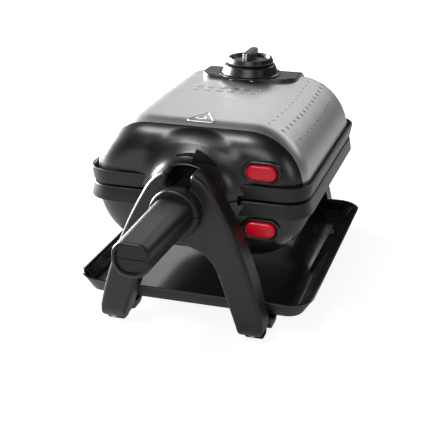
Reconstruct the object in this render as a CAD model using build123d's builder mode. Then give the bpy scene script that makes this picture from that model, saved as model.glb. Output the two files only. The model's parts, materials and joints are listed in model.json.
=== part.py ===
"""Rotating waffle maker on two A-frame stands, with a drip tray under it.

The closed body turns half a turn about a level axis between the stands. The lower half
carries both journals. The lid opens on a raised hinge behind it, and a web that joins the
lid to the upper half of the handle rises through a slot in the front hub, so the lid can
only open while the body stands upright.

Millimetres. +Z up, the handle points to -Y, the origin is under the middle of the object.
"""

import os
from math import atan2, cos, degrees, radians, sin

from build123d import *

os.makedirs("parts", exist_ok=True)

# Driving dimensions ------------------------------------------------------------------
AXIS_Z = 99.3  # height of the turning axis and of the parting plane
BODY_FRONT = -57.0  # front plane of the rim frames
RIM_LENGTH = 199.0
RIM_HALF = 85.0  # half width of a rim frame at the parting plane
RIM_HEIGHT = 12.0
RIM_FLARE = 8.0  # degrees that a rim's outer wall leans outward
RIM_CORNER = 20.5
PART_GAP = 0.9  # half of the black gap between the two rim frames

DOME_HALF = 83.0  # half width of a dome
DOME_RISE = 51.5  # height of a dome's flat top over the axis
DOME_CORNER = 45.0  # round along the dome's long edges
DOME_END = 24.0  # round over the dome's front and back
DOME_INSET = 3.2  # dome's ends behind the rim's front plane
WALL = 2.6
SHEET = 0.8
STEEL_FRONT = BODY_FRONT + 15.0
STEEL_BACK = BODY_FRONT + 188.0
FIT = 0.2  # gap between neighbouring fixed pieces

NECK_FRONT = BODY_FRONT - 12.5
NECK_RADIUS = 28.0
STAND_FRONT = BODY_FRONT - 32.0
STAND_DEPTH = 19.0
HUB_RADIUS = 29.0
HUB_SLOT = 8.7  # half width of the slot over the front hub
JOURNAL_RADIUS = 17.0
BUSH_OUTER = 19.5
RUNNING = 0.06  # radial clearance of a journal in its bush
TRUNNION_RADIUS = 14.0
REAR_BUSH_OUTER = 16.5

COLLAR_FRONT = BODY_FRONT - 43.8
COLLAR_RADIUS = 18.5
HANDLE_TIP = BODY_FRONT - 124.0
BUTTON_X = 51.7
BUTTON_RISE = 21.8  # each button's height over or under the axis
KNOB_Y = BODY_FRONT + 158.7
HINGE_Y = BODY_FRONT + 206.0
HINGE_Z = AXIS_Z + 26.0
HINGE_PIN = 2.5
LATCH_Y = BODY_FRONT + 8.8
LATCH_RISE = 13.0  # latch pivot's height over or under the axis

TRAY_FLOOR = 9.7  # low enough for the body to turn over the tray
TRAY_FOOT = 12.5  # foot of the tray's wall, where a shallow slope leads down to its floor
TRAY_RIM = 25.9
TRAY_HALF = 93.0
TRAY_FLARE = 8.6  # how far the wall leans out
TRAY_SLOPE = 8.0  # width of the slope round the floor
TRAY_SHEET = 1.6
TRAY_FRONT = BODY_FRONT - 12.0
FOOT_X = 54.5
FOOT_Z = 2.5
SOLE_TOP = 18.5  # a leg is solid below this, where the rail is let in
RAIL_X = FOOT_X  # the rails run from foot to foot
RAIL_Z = 6.4
RAIL_RADIUS = 2.8

BODY_BACK = BODY_FRONT + RIM_LENGTH
DOME_FRONT = BODY_FRONT + DOME_INSET
DOME_BACK = BODY_BACK - DOME_INSET
BODY_MIDDLE = (BODY_FRONT + BODY_BACK) / 2
STAND_BACK = STAND_FRONT + STAND_DEPTH
REAR_STAND_BACK = -HANDLE_TIP  # the rear stand ends as far back as the handle does in front
REAR_STAND_FRONT = REAR_STAND_BACK - STAND_DEPTH
TRAY_BACK = REAR_STAND_FRONT - 1.0
TURN_AXIS = Axis((0, 0, AXIS_Z), (0, 1, 0))
PARTING = Plane.XY.offset(AXIS_Z)
BETWEEN_STANDS = Plane.XZ.offset(-(STAND_FRONT + REAR_STAND_BACK) / 2)
ABOVE = (Align.CENTER, Align.CENTER, Align.MIN)
BELOW = (Align.CENTER, Align.CENTER, Align.MAX)
BACKWARD = (Align.CENTER, Align.MIN, Align.CENTER)


def facing(y):
    """A sketch plane across the body at y, drawn in X and Z; a negative extrude runs to +Y."""
    return Plane.XZ.offset(-y)


def side_on(x):
    """A sketch plane along the body at x, drawn in Y and Z; an extrude runs to +X."""
    return Plane.YZ.offset(x)


# Shared shapes ------------------------------------------------------------------------
def dome(shrink=0.0):
    """The closed upper dome above the axis, drawn in by shrink on its outside."""
    with BuildPart() as block:
        with BuildSketch(facing(DOME_FRONT + shrink)) as section:
            with Locations((0, AXIS_Z)):
                Rectangle(
                    2 * (DOME_HALF - shrink), DOME_RISE - shrink,
                    align=(Align.CENTER, Align.MIN),
                )
            fillet(section.vertices().group_by(Axis.Y)[-1], DOME_CORNER - shrink)
        extrude(amount=-(DOME_BACK - DOME_FRONT - 2 * shrink))
        ends = block.faces().filter_by(Axis.Y).edges()
        fillet(ends.filter_by(lambda e: e.center().Z > AXIS_Z + 1), DOME_END - shrink)
    return block.part


def neck(shrink=0.0):
    """The trumpet-shaped neck round the turning axis, from the hub back into the dome."""
    flare = [(4.5, 1.5), (8.5, 4.5), (12.5, 8.0), (16.5, 12.0), (20.5, 16.0), (23.5, 18.3)]
    with BuildPart() as block:
        with BuildSketch(Plane.YZ):
            with BuildLine():
                lip = (NECK_FRONT + shrink, AXIS_Z + NECK_RADIUS - shrink)
                curve = Spline(
                    lip,
                    *[(NECK_FRONT + y, AXIS_Z + NECK_RADIUS + r - shrink) for y, r in flare],
                    tangents=((1, 0), (1, 0.45)),
                )
                Polyline(curve @ 1, ((curve @ 1).X, AXIS_Z), (lip[0], AXIS_Z), lip)
            make_face()
        revolve(axis=TURN_AXIS)
    return block.part


def rim_outline(plane, inset=0.0):
    """A rim frame's rounded outline on a level plane, as a sketch."""
    with BuildSketch(plane) as outline:
        with Locations((0, BODY_MIDDLE)):
            RectangleRounded(
                2 * (RIM_HALF - inset), RIM_LENGTH - 2 * (RIM_HEIGHT * 0.07 + inset),
                max(RIM_CORNER - inset, 3.0),
            )
    return outline.sketch


def stand_face(plane, inset=0.0, floor=FOOT_Z):
    """The A-frame's outline: a round hub on two splayed legs over a round arch."""
    lean = 30.5  # where the legs leave the hub, in degrees over its level diameter
    shoulder = (HUB_RADIUS * cos(radians(lean)), AXIS_Z + HUB_RADIUS * sin(radians(lean)))
    ankle, toe, heel = (63.0, 16.0), (63.6, FOOT_Z), (45.8, FOOT_Z)
    arch_radius, arch_middle, splay = 31.0, AXIS_Z - 58.6, 22.0
    spring = (
        arch_radius * cos(radians(splay)),
        arch_middle + arch_radius * sin(radians(splay)),
    )
    with BuildSketch(plane) as face:
        with BuildLine() as half:
            top = RadiusArc((0, AXIS_Z + HUB_RADIUS), shoulder, HUB_RADIUS)
            leg = TangentArc(shoulder, ankle, tangent=top % 1)
            Polyline(ankle, toe, heel, spring)
            RadiusArc(spring, (0, arch_middle + arch_radius), -arch_radius)
            Line((0, arch_middle + arch_radius), (0, AXIS_Z + HUB_RADIUS))
        make_face()
        mirror(about=Plane.YZ)
        corners = face.vertices().group_by(Axis.Y)[0].sort_by(Axis.X)
        fillet([corners[0], corners[-1]], 9.0)
        corners = face.vertices().filter_by(
            lambda v: abs(v.Y - FOOT_Z) < 0.01 and abs(abs(v.X) - heel[0]) < 0.01
        )
        fillet(corners, 7.0)
        if inset:
            offset(amount=-inset)
        if floor > FOOT_Z:
            with Locations((0, floor)):
                Rectangle(200, 200, align=(Align.CENTER, Align.MIN), mode=Mode.INTERSECT)
    return face.sketch


def stand_block(hub_slot):
    """The solid outside of a stand, standing at the front, with its foot rounded below."""
    with BuildPart() as block:
        extrude(stand_face(facing(STAND_FRONT)), amount=-STAND_DEPTH)
        front = block.faces().filter_by(Axis.Y).sort_by(Axis.Y)[0]
        fillet(front.outer_wire().edges(), 3.6)
        with BuildSketch(side_on(-80)) as side:
            with Locations((STAND_FRONT, FOOT_Z)):
                Rectangle(STAND_DEPTH, 150, align=(Align.MIN, Align.MIN))
            below = side.vertices().group_by(Axis.Y)[0]
            fillet(below.sort_by(Axis.X)[0], 13.0)
            fillet(side.vertices().group_by(Axis.Y)[0].sort_by(Axis.X)[-1], 3.0)
        extrude(amount=160, mode=Mode.INTERSECT)
        with Locations((0, STAND_BACK, AXIS_Z)):
            Cylinder(HUB_RADIUS + 2, 2, rotation=(90, 0, 0), align=ABOVE, mode=Mode.SUBTRACT)
        if hub_slot:
            with Locations((0, STAND_FRONT - 1, AXIS_Z)):
                Box(
                    2 * HUB_SLOT, STAND_DEPTH + 2, HUB_RADIUS + 5,
                    align=(Align.CENTER, Align.MIN, Align.MIN), mode=Mode.SUBTRACT,
                )
    return block.part


def stand_shell(hub_slot, bore):
    """A stand's moulded shell: open behind over the legs and hub, with a boss for the bush."""
    skin = stand_block(hub_slot)
    hollow = stand_face(facing(STAND_FRONT + WALL + 1), WALL + 0.6, floor=SOLE_TOP)
    with BuildPart() as shell:
        add(skin)
        extrude(hollow, amount=-STAND_DEPTH, mode=Mode.SUBTRACT)
        with BuildSketch(facing(STAND_FRONT + WALL)):
            with Locations((0, AXIS_Z)):
                Circle(bore + 3.5)
            if hub_slot:
                with Locations((0, AXIS_Z + 14)):
                    Rectangle(2 * (HUB_SLOT + WALL), 26)
        extrude(amount=-(STAND_DEPTH - WALL - 4.6))
        add(skin, mode=Mode.INTERSECT)
        with BuildSketch(facing(STAND_FRONT)):
            with Locations((0, AXIS_Z)):
                Circle(bore)
        extrude(amount=-STAND_DEPTH, mode=Mode.SUBTRACT)
        for side in (-1, 1):
            with Locations((side * RAIL_X, STAND_BACK + 1, RAIL_Z)):
                Cylinder(
                    RAIL_RADIUS + 0.05, 15, rotation=(90, 0, 0), align=ABOVE,
                    mode=Mode.SUBTRACT,
                )
    return shell.part


def stand_cover(hub_slot, bore):
    """The flat cover let into the back of a stand's shell."""
    face = stand_face(facing(STAND_BACK - 4.4), WALL + 0.6 + FIT, floor=SOLE_TOP + FIT)
    with BuildPart() as plate:
        extrude(face, amount=-2.2)
        with BuildSketch(facing(STAND_BACK - 5)):
            with Locations((0, AXIS_Z)):
                Circle(bore)
            if hub_slot:
                with Locations((0, AXIS_Z)):
                    Rectangle(2 * HUB_SLOT, 40, align=(Align.CENTER, Align.MIN))
        extrude(amount=-4, mode=Mode.SUBTRACT)
    return plate.part


def handle_section(y, width, rise, corner, up):
    """One half of the grip's oval at y, over (up = 1) or under (up = -1) the parting plane."""
    with BuildSketch(facing(y)) as section:
        with Locations((0, AXIS_Z + up * 0.25)):
            Rectangle(width, rise, align=(Align.CENTER, Align.MIN if up > 0 else Align.MAX))
        far = section.vertices().sort_by(Axis.Y)
        fillet(far[-2:] if up > 0 else far[:2], corner)
    return section.sketch


def handle_half(up, tip, root):
    """Half of the handle with its half collar: tip and root are (width, rise, corner)."""
    skin = 2.8
    with BuildPart() as half:
        loft([
            handle_section(HANDLE_TIP, *tip, up),
            handle_section(COLLAR_FRONT + 1, *root, up),
        ])
        end = half.faces().sort_by(Axis.Y)[0].edges()
        fillet(end.filter_by(lambda e: abs(e.center().Z - AXIS_Z) > 1), 2.0)
        with BuildSketch(facing(COLLAR_FRONT)) as collar:
            with Locations((0, AXIS_Z)):
                Circle(COLLAR_RADIUS)
            with Locations((0, AXIS_Z + up * 0.25)):
                Rectangle(
                    60, 30, align=(Align.CENTER, Align.MIN if up > 0 else Align.MAX),
                    mode=Mode.INTERSECT,
                )
        extrude(amount=-11)
        rim = half.edges().filter_by(GeomType.CIRCLE).filter_by(
            lambda e: abs(e.center().Y - COLLAR_FRONT) < 0.1 and e.radius > COLLAR_RADIUS - 1
        )
        fillet(rim, 2.6)
        dish = (tip[0] - 2 * skin, tip[1] - skin, tip[2] - skin)
        extrude(handle_section(HANDLE_TIP, *dish, up), amount=-1.8, mode=Mode.SUBTRACT)
        loft(
            [
                handle_section(HANDLE_TIP + 5, tip[0] - 2 * skin, tip[1] - skin, 5.0, up),
                handle_section(COLLAR_FRONT + 12, root[0] - 2 * skin, root[1] - skin, 5.0, up),
            ],
            mode=Mode.SUBTRACT,
        )
    return half.part


def pill(plane, centre, width, height):
    """A pill-shaped face at centre (x, z) on a plane across the body."""
    with BuildSketch(plane) as face:
        with Locations(centre):
            SlotOverall(width, height)
    return face.sketch


def waffle_plate():
    """The upper cast plate: two pans of tapered studs, a thin flange and a latch tab."""
    pitch, columns, rows, pan_gap = 19.5, 6, 4, 42.0
    pan_depth, stud_rise = 9.5, 6.4
    middle = (BODY_FRONT + 8.2 + BODY_FRONT + 190.4) / 2
    with BuildPart() as plate:
        with BuildSketch(Plane.XY.offset(AXIS_Z + 0.3)):
            with Locations((0, middle)):
                RectangleRounded(147.0, 182.0, 15)
        extrude(amount=2.0)
        with BuildSketch(Plane.XY.offset(AXIS_Z + 2.3)):
            with Locations((0, middle)):
                RectangleRounded(140, 172.4, 12)
        extrude(amount=10.7)
        with BuildSketch(Plane.XY.offset(AXIS_Z + 0.3)):
            with Locations((0, middle - pan_gap), (0, middle + pan_gap)):
                RectangleRounded(columns * pitch + 7, rows * pitch + 2, 5)
        extrude(amount=pan_depth, taper=8, mode=Mode.SUBTRACT)
        with BuildSketch(Plane.XY.offset(AXIS_Z + 0.3 + pan_depth)):
            with Locations((0, middle - pan_gap), (0, middle + pan_gap)):
                with GridLocations(pitch, pitch, columns, rows):
                    RectangleRounded(13.6, 13.6, 1.5)
        extrude(amount=-stud_rise, taper=12)
        with Locations((BUTTON_X, BODY_FRONT + 10.6, AXIS_Z + 7.3)):
            Box(12, 3.2, 1.6, align=(Align.CENTER, Align.MIN, Align.MIN))
    return plate.part


def tube_run(points, corner, radius):
    """A round tube along straight runs with rounded corners."""
    with BuildPart() as tube:
        with BuildLine() as path:
            FilletPolyline(*points, radius=corner)
        with BuildSketch(Plane(origin=path.line @ 0, z_dir=path.line % 0)):
            Circle(radius)
        sweep()
    return tube.part


# Base: stands, rails, tray rests and feet ----------------------------------------------
front_shell = stand_shell(True, BUSH_OUTER)
with BuildPart() as front_stand:
    add(front_shell)
    horns = front_stand.edges().filter_by(Axis.Y).filter_by(
        lambda e: abs(abs(e.center().X) - HUB_SLOT) < 0.1 and e.center().Z > AXIS_Z + 25
    )
    fillet(horns, 2.5)

front_plate = stand_cover(True, BUSH_OUTER + 0.1)
with BuildPart() as front_stand_cover:
    add(front_plate)

rear_shell = stand_shell(False, REAR_BUSH_OUTER)
with BuildPart() as rear_stand:
    mirror(rear_shell, about=BETWEEN_STANDS)

rear_plate = stand_cover(False, REAR_BUSH_OUTER + 0.1)
with BuildPart() as rear_stand_cover:
    mirror(rear_plate, about=BETWEEN_STANDS)

with BuildPart() as base_rails:
    rail_start = STAND_BACK - 13.5
    for side in (-1, 1):
        with Locations((side * RAIL_X, rail_start, RAIL_Z)):
            Cylinder(
                RAIL_RADIUS, -2 * rail_start + (STAND_FRONT + REAR_STAND_BACK),
                rotation=(-90, 0, 0), align=ABOVE,
            )

rest_length, rest_foot, rest_lip = 21.0, 2.6, 5.0
with BuildPart() as front_rests:
    with BuildSketch(side_on(-10)) as rest_side:
        with Locations((STAND_BACK + FIT + 2.4, rest_foot)):
            Rectangle(rest_length, TRAY_FLOOR - FIT - rest_foot, align=(Align.MIN, Align.MIN))
            Rectangle(rest_lip, TRAY_FOOT - FIT - rest_foot, align=(Align.MIN, Align.MIN))
        fillet(rest_side.vertices().group_by(Axis.Y)[0].sort_by(Axis.X)[-1], 5.0)
        fillet(rest_side.vertices().group_by(Axis.Y)[0].sort_by(Axis.X)[0], 3.0)
        fillet(rest_side.vertices().group_by(Axis.Y)[-1].sort_by(Axis.X)[-1], 2.0)
    extrude(amount=20)
    with Locations((0, 0, RAIL_Z)):
        Cylinder(RAIL_RADIUS + 0.05, 400, rotation=(90, 0, 0), mode=Mode.SUBTRACT)
with BuildPart() as tray_rests:
    for side in (-1, 1):
        with Locations((side * RAIL_X, 0, 0)):
            add(front_rests.part)
    mirror(tray_rests.part, about=BETWEEN_STANDS)

pad_top = 13.0
with BuildPart() as one_foot:
    with BuildSketch(side_on(-7)):
        with BuildLine():
            sole = [
                (STAND_FRONT + 10.0, 0.0), (STAND_BACK + 0.2, 0.0),
                (STAND_BACK + 2.3, 2.2), (STAND_BACK + 2.3, pad_top),
                (STAND_BACK + 0.2, pad_top), (STAND_BACK + 0.2, FOOT_Z - 0.1),
                (STAND_FRONT + 10.0, FOOT_Z - 0.1),
            ]
            Polyline(*sole, close=True)
        make_face()
    extrude(amount=14)
    with Locations((0, 0, RAIL_Z)):
        Cylinder(RAIL_RADIUS + 0.1, 400, rotation=(90, 0, 0), mode=Mode.SUBTRACT)
with BuildPart() as foot_pads:
    for side in (-1, 1):
        with Locations((side * FOOT_X, 0, 0)):
            add(one_foot.part)
    mirror(foot_pads.part, about=BETWEEN_STANDS)

with BuildPart() as front_bush:
    with BuildSketch(facing(STAND_FRONT + 0.4)):
        with Locations((0, AXIS_Z)):
            Circle(BUSH_OUTER - 0.02)
            Circle(JOURNAL_RADIUS + RUNNING, mode=Mode.SUBTRACT)
            Rectangle(
                2 * HUB_SLOT, 40, align=(Align.CENTER, Align.MIN), mode=Mode.SUBTRACT
            )
    extrude(amount=-(STAND_DEPTH - 2.8))

with BuildPart() as rear_bush:
    with BuildSketch(facing(REAR_STAND_FRONT + 2.4)):
        with Locations((0, AXIS_Z)):
            Circle(REAR_BUSH_OUTER - 0.02)
            Circle(TRUNNION_RADIUS + RUNNING, mode=Mode.SUBTRACT)
    extrude(amount=-(STAND_DEPTH - 5.6))

with BuildPart() as rear_hub_cap:
    with BuildSketch(facing(REAR_STAND_BACK - 3.0)):
        with Locations((0, AXIS_Z)):
            Circle(REAR_BUSH_OUTER - 0.05)
            Circle(6.6, mode=Mode.SUBTRACT)
    extrude(amount=-3.0)
    rear_face = rear_hub_cap.faces().sort_by(Axis.Y)[-1]
    chamfer(rear_face.outer_wire().edges(), 0.6)

with BuildPart() as cord_gland:
    with BuildSketch(facing(REAR_STAND_BACK - 9.0)):
        with Locations((0, AXIS_Z)):
            Circle(6.5)
            Circle(3.6, mode=Mode.SUBTRACT)
    extrude(amount=-9.0)
    with BuildSketch(facing(REAR_STAND_BACK - 5.2)):
        with Locations((0, AXIS_Z)):
            Circle(9.0)
            Circle(6.0, mode=Mode.SUBTRACT)
    extrude(amount=-2.0)

screw_spots = [(45.0, AXIS_Z - 46.6), (50.5, AXIS_Z - 68.6), (26.5, AXIS_Z - 18.6)]
with BuildPart() as front_screws:
    for x, z in [(side * x, z) for x, z in screw_spots for side in (-1, 1)]:
        with Locations((x, STAND_BACK - 2.1, z)):
            Cylinder(3.2, 1.8, rotation=(-90, 0, 0), align=ABOVE)
            with Locations((0, 0.9, 0)):
                Box(1.0, 1.0, 4.4, align=BACKWARD, mode=Mode.SUBTRACT)
with BuildPart() as stand_screws:
    add(front_screws.part)
    mirror(front_screws.part, about=BETWEEN_STANDS)

# Drip tray -----------------------------------------------------------------------------
def tray_form(inset, lift):
    """The tray's wall and sloped floor edge as a solid block, drawn in and lifted."""
    half = TRAY_HALF - TRAY_FLARE - inset
    length = TRAY_BACK - TRAY_FRONT - 2 * (TRAY_FLARE + inset)
    middle = (TRAY_FRONT + TRAY_BACK) / 2
    lean = degrees(atan2(TRAY_FLARE, TRAY_RIM - TRAY_FOOT))
    slope = degrees(atan2(TRAY_SLOPE, TRAY_FOOT - TRAY_FLOOR))
    with BuildPart() as block:
        with BuildSketch(Plane.XY.offset(TRAY_FOOT + lift)):
            with Locations((0, middle)):
                RectangleRounded(2 * half, length, 13.0 - inset)
        extrude(amount=TRAY_RIM - TRAY_FOOT, taper=-lean)
        with BuildSketch(Plane.XY.offset(TRAY_FOOT + lift)):
            with Locations((0, middle)):
                RectangleRounded(2 * half, length, 13.0 - inset)
        extrude(amount=-(TRAY_FOOT - TRAY_FLOOR), taper=slope)
    return block.part


tray_outside, tray_inside = tray_form(0, 0), tray_form(1.1, TRAY_SHEET)
with BuildPart() as drip_tray:
    add(tray_outside)
    add(tray_inside, mode=Mode.SUBTRACT)

# Lid: caps, steel cover, rim, plate and handle half --------------------------------------
outer_dome, inner_dome, sheet_dome = dome(), dome(WALL), dome(SHEET)
outer_neck, inner_neck, neck_room = neck(), neck(WALL), neck(-FIT)
dome_foot = AXIS_Z + 3.7
room = 400.0

with BuildPart() as neck_half:
    add(outer_neck)
    add(inner_neck, mode=Mode.SUBTRACT)
    add(inner_dome, mode=Mode.SUBTRACT)
    mirror(inner_dome, about=PARTING, mode=Mode.SUBTRACT)
    with Locations((0, NECK_FRONT - 1, AXIS_Z)):
        Cylinder(
            JOURNAL_RADIUS + 0.6, 30, rotation=(-90, 0, 0), align=ABOVE, mode=Mode.SUBTRACT
        )
    with Locations((0, BODY_MIDDLE, AXIS_Z + 0.6)):
        Box(room, room, room, align=ABOVE, mode=Mode.INTERSECT)
with BuildPart() as front_cap:
    add(outer_dome)
    add(inner_dome, mode=Mode.SUBTRACT)
    with Locations((0, BODY_MIDDLE, dome_foot)):
        Box(room, room, room, align=ABOVE, mode=Mode.INTERSECT)
    add(neck_half.part)
    add(inner_neck, mode=Mode.SUBTRACT)
    with Locations((0, STEEL_FRONT - FIT / 2, AXIS_Z)):
        Box(room, room, room, align=(Align.CENTER, Align.MAX, Align.CENTER), mode=Mode.INTERSECT)
    extrude(
        pill(facing(NECK_FRONT), (BUTTON_X, AXIS_Z + BUTTON_RISE), 29.6, 17.6),
        amount=-30, mode=Mode.SUBTRACT,
    )

shaft_hole = 4.2
hole_rows = [(72.0, 14, 0.8, 0.8), (57.0, 15, 1.8, 1.0), (41.0, 14, 0.8, 0.8)]
with BuildPart() as steel_cover:
    add(outer_dome)
    add(sheet_dome, mode=Mode.SUBTRACT)
    with Locations((0, STEEL_FRONT + FIT / 2, dome_foot)):
        Box(
            room, STEEL_BACK - STEEL_FRONT - FIT, room,
            align=(Align.CENTER, Align.MIN, Align.MIN), mode=Mode.INTERSECT,
        )
    with Locations((0, KNOB_Y, AXIS_Z + DOME_RISE)):
        Cylinder(shaft_hole, 6, mode=Mode.SUBTRACT)
    for angle, count, long_half, radius in hole_rows:
        for side in (-1, 1):
            for i in range(count):
                along = (i + 0.5) / count
                bow = 4.0 * (2 * along - 1) ** 2
                tilt = radians(angle + bow)
                out = Vector(side * cos(tilt), 0, sin(tilt))
                spot = Vector(
                    side * (DOME_HALF - DOME_CORNER) + DOME_CORNER * out.X,
                    STEEL_FRONT + 10 + along * (STEEL_BACK - STEEL_FRONT - 20),
                    AXIS_Z + DOME_RISE - DOME_CORNER + DOME_CORNER * out.Z,
                )
                with BuildSketch(Plane(spot, x_dir=(0, 1, 0), z_dir=out)):
                    if long_half > radius:
                        SlotOverall(2 * long_half, 2 * radius, rotation=90)
                    else:
                        Circle(radius)
                extrude(amount=2, both=True, mode=Mode.SUBTRACT)

raised_dome = dome(-3.2)
plate_front = BODY_FRONT + 144.0
plate_half = 41.0
plate_top = AXIS_Z + DOME_RISE + 3.2
with BuildPart() as rear_cap:
    add(outer_dome)
    add(inner_dome, mode=Mode.SUBTRACT)
    with Locations((0, STEEL_BACK + FIT / 2, dome_foot)):
        Box(room, room, room, align=(Align.CENTER, Align.MIN, Align.MIN), mode=Mode.INTERSECT)
with BuildPart() as knob_plate:
    add(raised_dome)
    with BuildSketch(Plane.XY.offset(AXIS_Z + 36)) as plan:
        with Locations((0, plate_front)):
            Rectangle(2 * plate_half, 80, align=(Align.CENTER, Align.MIN))
        fillet(plan.vertices().group_by(Axis.Y)[0], 15.0)
    extrude(amount=60, mode=Mode.INTERSECT)
    add(outer_dome, mode=Mode.SUBTRACT)
    fillet(knob_plate.faces().sort_by(Axis.Z)[-1].edges().group_by(Axis.Y)[0], 1.2)
with BuildPart() as back_cover:
    add(rear_cap.part)
    add(knob_plate.part)
    with Locations((0, KNOB_Y, plate_top - 20)):
        Cylinder(5.0, 60, mode=Mode.SUBTRACT)

upper_frame_outline = rim_outline(PARTING.offset(PART_GAP))
upper_frame_hollow = rim_outline(PARTING.offset(PART_GAP + 2.5), 1.9)
upper_frame_window = rim_outline(PARTING.offset(PART_GAP), 7.2)
with BuildPart() as upper_rim:
    extrude(upper_frame_outline, amount=RIM_HEIGHT - PART_GAP, taper=-RIM_FLARE)
    extrude(upper_frame_hollow, amount=RIM_HEIGHT, taper=-RIM_FLARE, mode=Mode.SUBTRACT)
    extrude(upper_frame_window, amount=RIM_HEIGHT, mode=Mode.SUBTRACT)
    with Locations((0, BODY_FRONT - 5, AXIS_Z)):
        Box(69.0, 14.5, 60, align=BACKWARD, mode=Mode.SUBTRACT)
    add(neck_room, mode=Mode.SUBTRACT)

cast_plate = waffle_plate()
with BuildPart() as upper_plate:
    add(cast_plate)

heater_z = AXIS_Z + 17.2
heater_x, heater_front, heater_back = 46.0, BODY_FRONT + 34.0, BODY_FRONT + 166.0
element = tube_run(
    [
        (-14, heater_back + 8, heater_z), (-14, heater_back - 26, heater_z),
        (-heater_x, heater_back - 26, heater_z), (-heater_x, heater_front, heater_z),
        (heater_x, heater_front, heater_z), (heater_x, heater_back - 26, heater_z),
        (14, heater_back - 26, heater_z), (14, heater_back + 8, heater_z),
    ],
    12.0, 3.2,
)
with BuildPart() as upper_heater:
    add(element)

with BuildPart() as pan:
    with BuildSketch(PARTING.offset(13.5)):
        with Locations((0, BODY_MIDDLE)):
            RectangleRounded(120, 166, 12)
    extrude(amount=10.5)
    with BuildSketch(PARTING.offset(13.4)):
        with Locations((0, BODY_MIDDLE)):
            RectangleRounded(120 - 2 * SHEET, 166 - 2 * SHEET, 12 - SHEET)
    extrude(amount=10.6 - SHEET, mode=Mode.SUBTRACT)
with BuildPart() as upper_reflector:
    add(pan.part)

upper_tip, upper_root = (26.4, 11.2, 8.6), (28.6, 12.2, 9.2)
lower_tip, lower_root = (26.4, 12.0, 11.4), (28.6, 12.8, 12.2)
upper_grip = handle_half(1, upper_tip, upper_root)
with BuildPart() as upper_handle:
    add(upper_grip)

with BuildPart() as handle_web:
    with Locations((0, BODY_FRONT - 32.4, AXIS_Z + 0.8)):
        Box(11, 26.4, 14.8, align=(Align.CENTER, Align.MIN, Align.MIN))
    with Locations((0, BODY_FRONT - 62, AXIS_Z + 0.8)):
        Box(11, 29.7, 7.4, align=(Align.CENTER, Align.MIN, Align.MIN))
    with BuildSketch(facing(BODY_FRONT - 6.0)):
        with Locations((0, AXIS_Z)):
            Circle(23.0)
        with Locations((0, AXIS_Z + 0.8)):
            Rectangle(60, 40, align=(Align.CENTER, Align.MIN), mode=Mode.INTERSECT)
    extrude(amount=-4)

knuckle_x = 47.5
with BuildPart() as hinge_knuckles:
    for side in (-1, 1):
        with Locations((side * knuckle_x, 0, 0)):
            with Locations((0, HINGE_Y, HINGE_Z)):
                Cylinder(5.0, 8.0, rotation=(0, 90, 0))
            with Locations((0, DOME_BACK + FIT, HINGE_Z - 5)):
                Box(
                    8.0, HINGE_Y - DOME_BACK - FIT, 7,
                    align=(Align.CENTER, Align.MIN, Align.MIN),
                )
            with Locations((0, DOME_BACK + FIT, HINGE_Z - 10)):
                Box(8.0, 2.0, 11, align=(Align.CENTER, Align.MIN, Align.MIN))
    with Locations((0, HINGE_Y, HINGE_Z)):
        Cylinder(HINGE_PIN + 0.05, 200, rotation=(0, 90, 0), mode=Mode.SUBTRACT)

with BuildPart() as thermostat:
    with Locations((0, KNOB_Y, AXIS_Z + 25.0)):
        Cylinder(14, 13, align=ABOVE)
        with Locations((0, 0, 13)):
            Cylinder(6, 4, align=ABOVE)
        with Locations((0, 18, 0)):
            Box(10, 12, 4, align=ABOVE)
        Cylinder(3.05, 60, mode=Mode.SUBTRACT)

with BuildPart() as thermal_fuse:
    with Locations((-30, BODY_MIDDLE, AXIS_Z + 27.5)):
        Cylinder(2.2, 22, rotation=(90, 0, 0))
        Cylinder(0.7, 44, rotation=(90, 0, 0))

with BuildPart() as dial_base:
    with BuildSketch(Plane.XZ):
        with BuildLine():
            Polyline(
                (5.2, plate_top + FIT), (26.0, plate_top + FIT), (26.0, plate_top + 0.9),
                (23.8, plate_top + 1.6), (21.4, plate_top + 7.6), (20.4, plate_top + 8.4),
                (5.2, plate_top + 8.4), close=True,
            )
        make_face()
    revolve(axis=Axis.Z)
with BuildPart() as knob_skirt:
    with Locations((0, KNOB_Y, 0)):
        add(dial_base.part)

with BuildPart() as dial_marks:
    for x in (-9.0, 9.0):
        with Locations((x, KNOB_Y - 28.4, plate_top + 0.02)):
            Box(2.4, 1.0, 0.35, align=ABOVE)

# Buttons and latches ---------------------------------------------------------------------
button_centre = (BUTTON_X, AXIS_Z + BUTTON_RISE)
with BuildPart() as upper_bezel:
    extrude(pill(facing(BODY_FRONT + 0.6), button_centre, 29.2, 17.2), amount=-4.6)
    bezel_face = upper_bezel.faces().sort_by(Axis.Y)[0]
    fillet(bezel_face.edges(), 1.4)
    extrude(
        pill(facing(BODY_FRONT - 2), button_centre, 23.4, 11.9), amount=-20,
        mode=Mode.SUBTRACT,
    )

with BuildPart() as upper_button:
    extrude(pill(facing(BODY_FRONT - 1.2), button_centre, 22.6, 11.1), amount=-5.4)
    fillet(upper_button.faces().sort_by(Axis.Y)[0].edges(), 1.8)
    with Locations((BUTTON_X, BODY_FRONT + 4.2, AXIS_Z + BUTTON_RISE)):
        Cylinder(1.0, 3.4, rotation=(-90, 0, 0), align=ABOVE)

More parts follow.
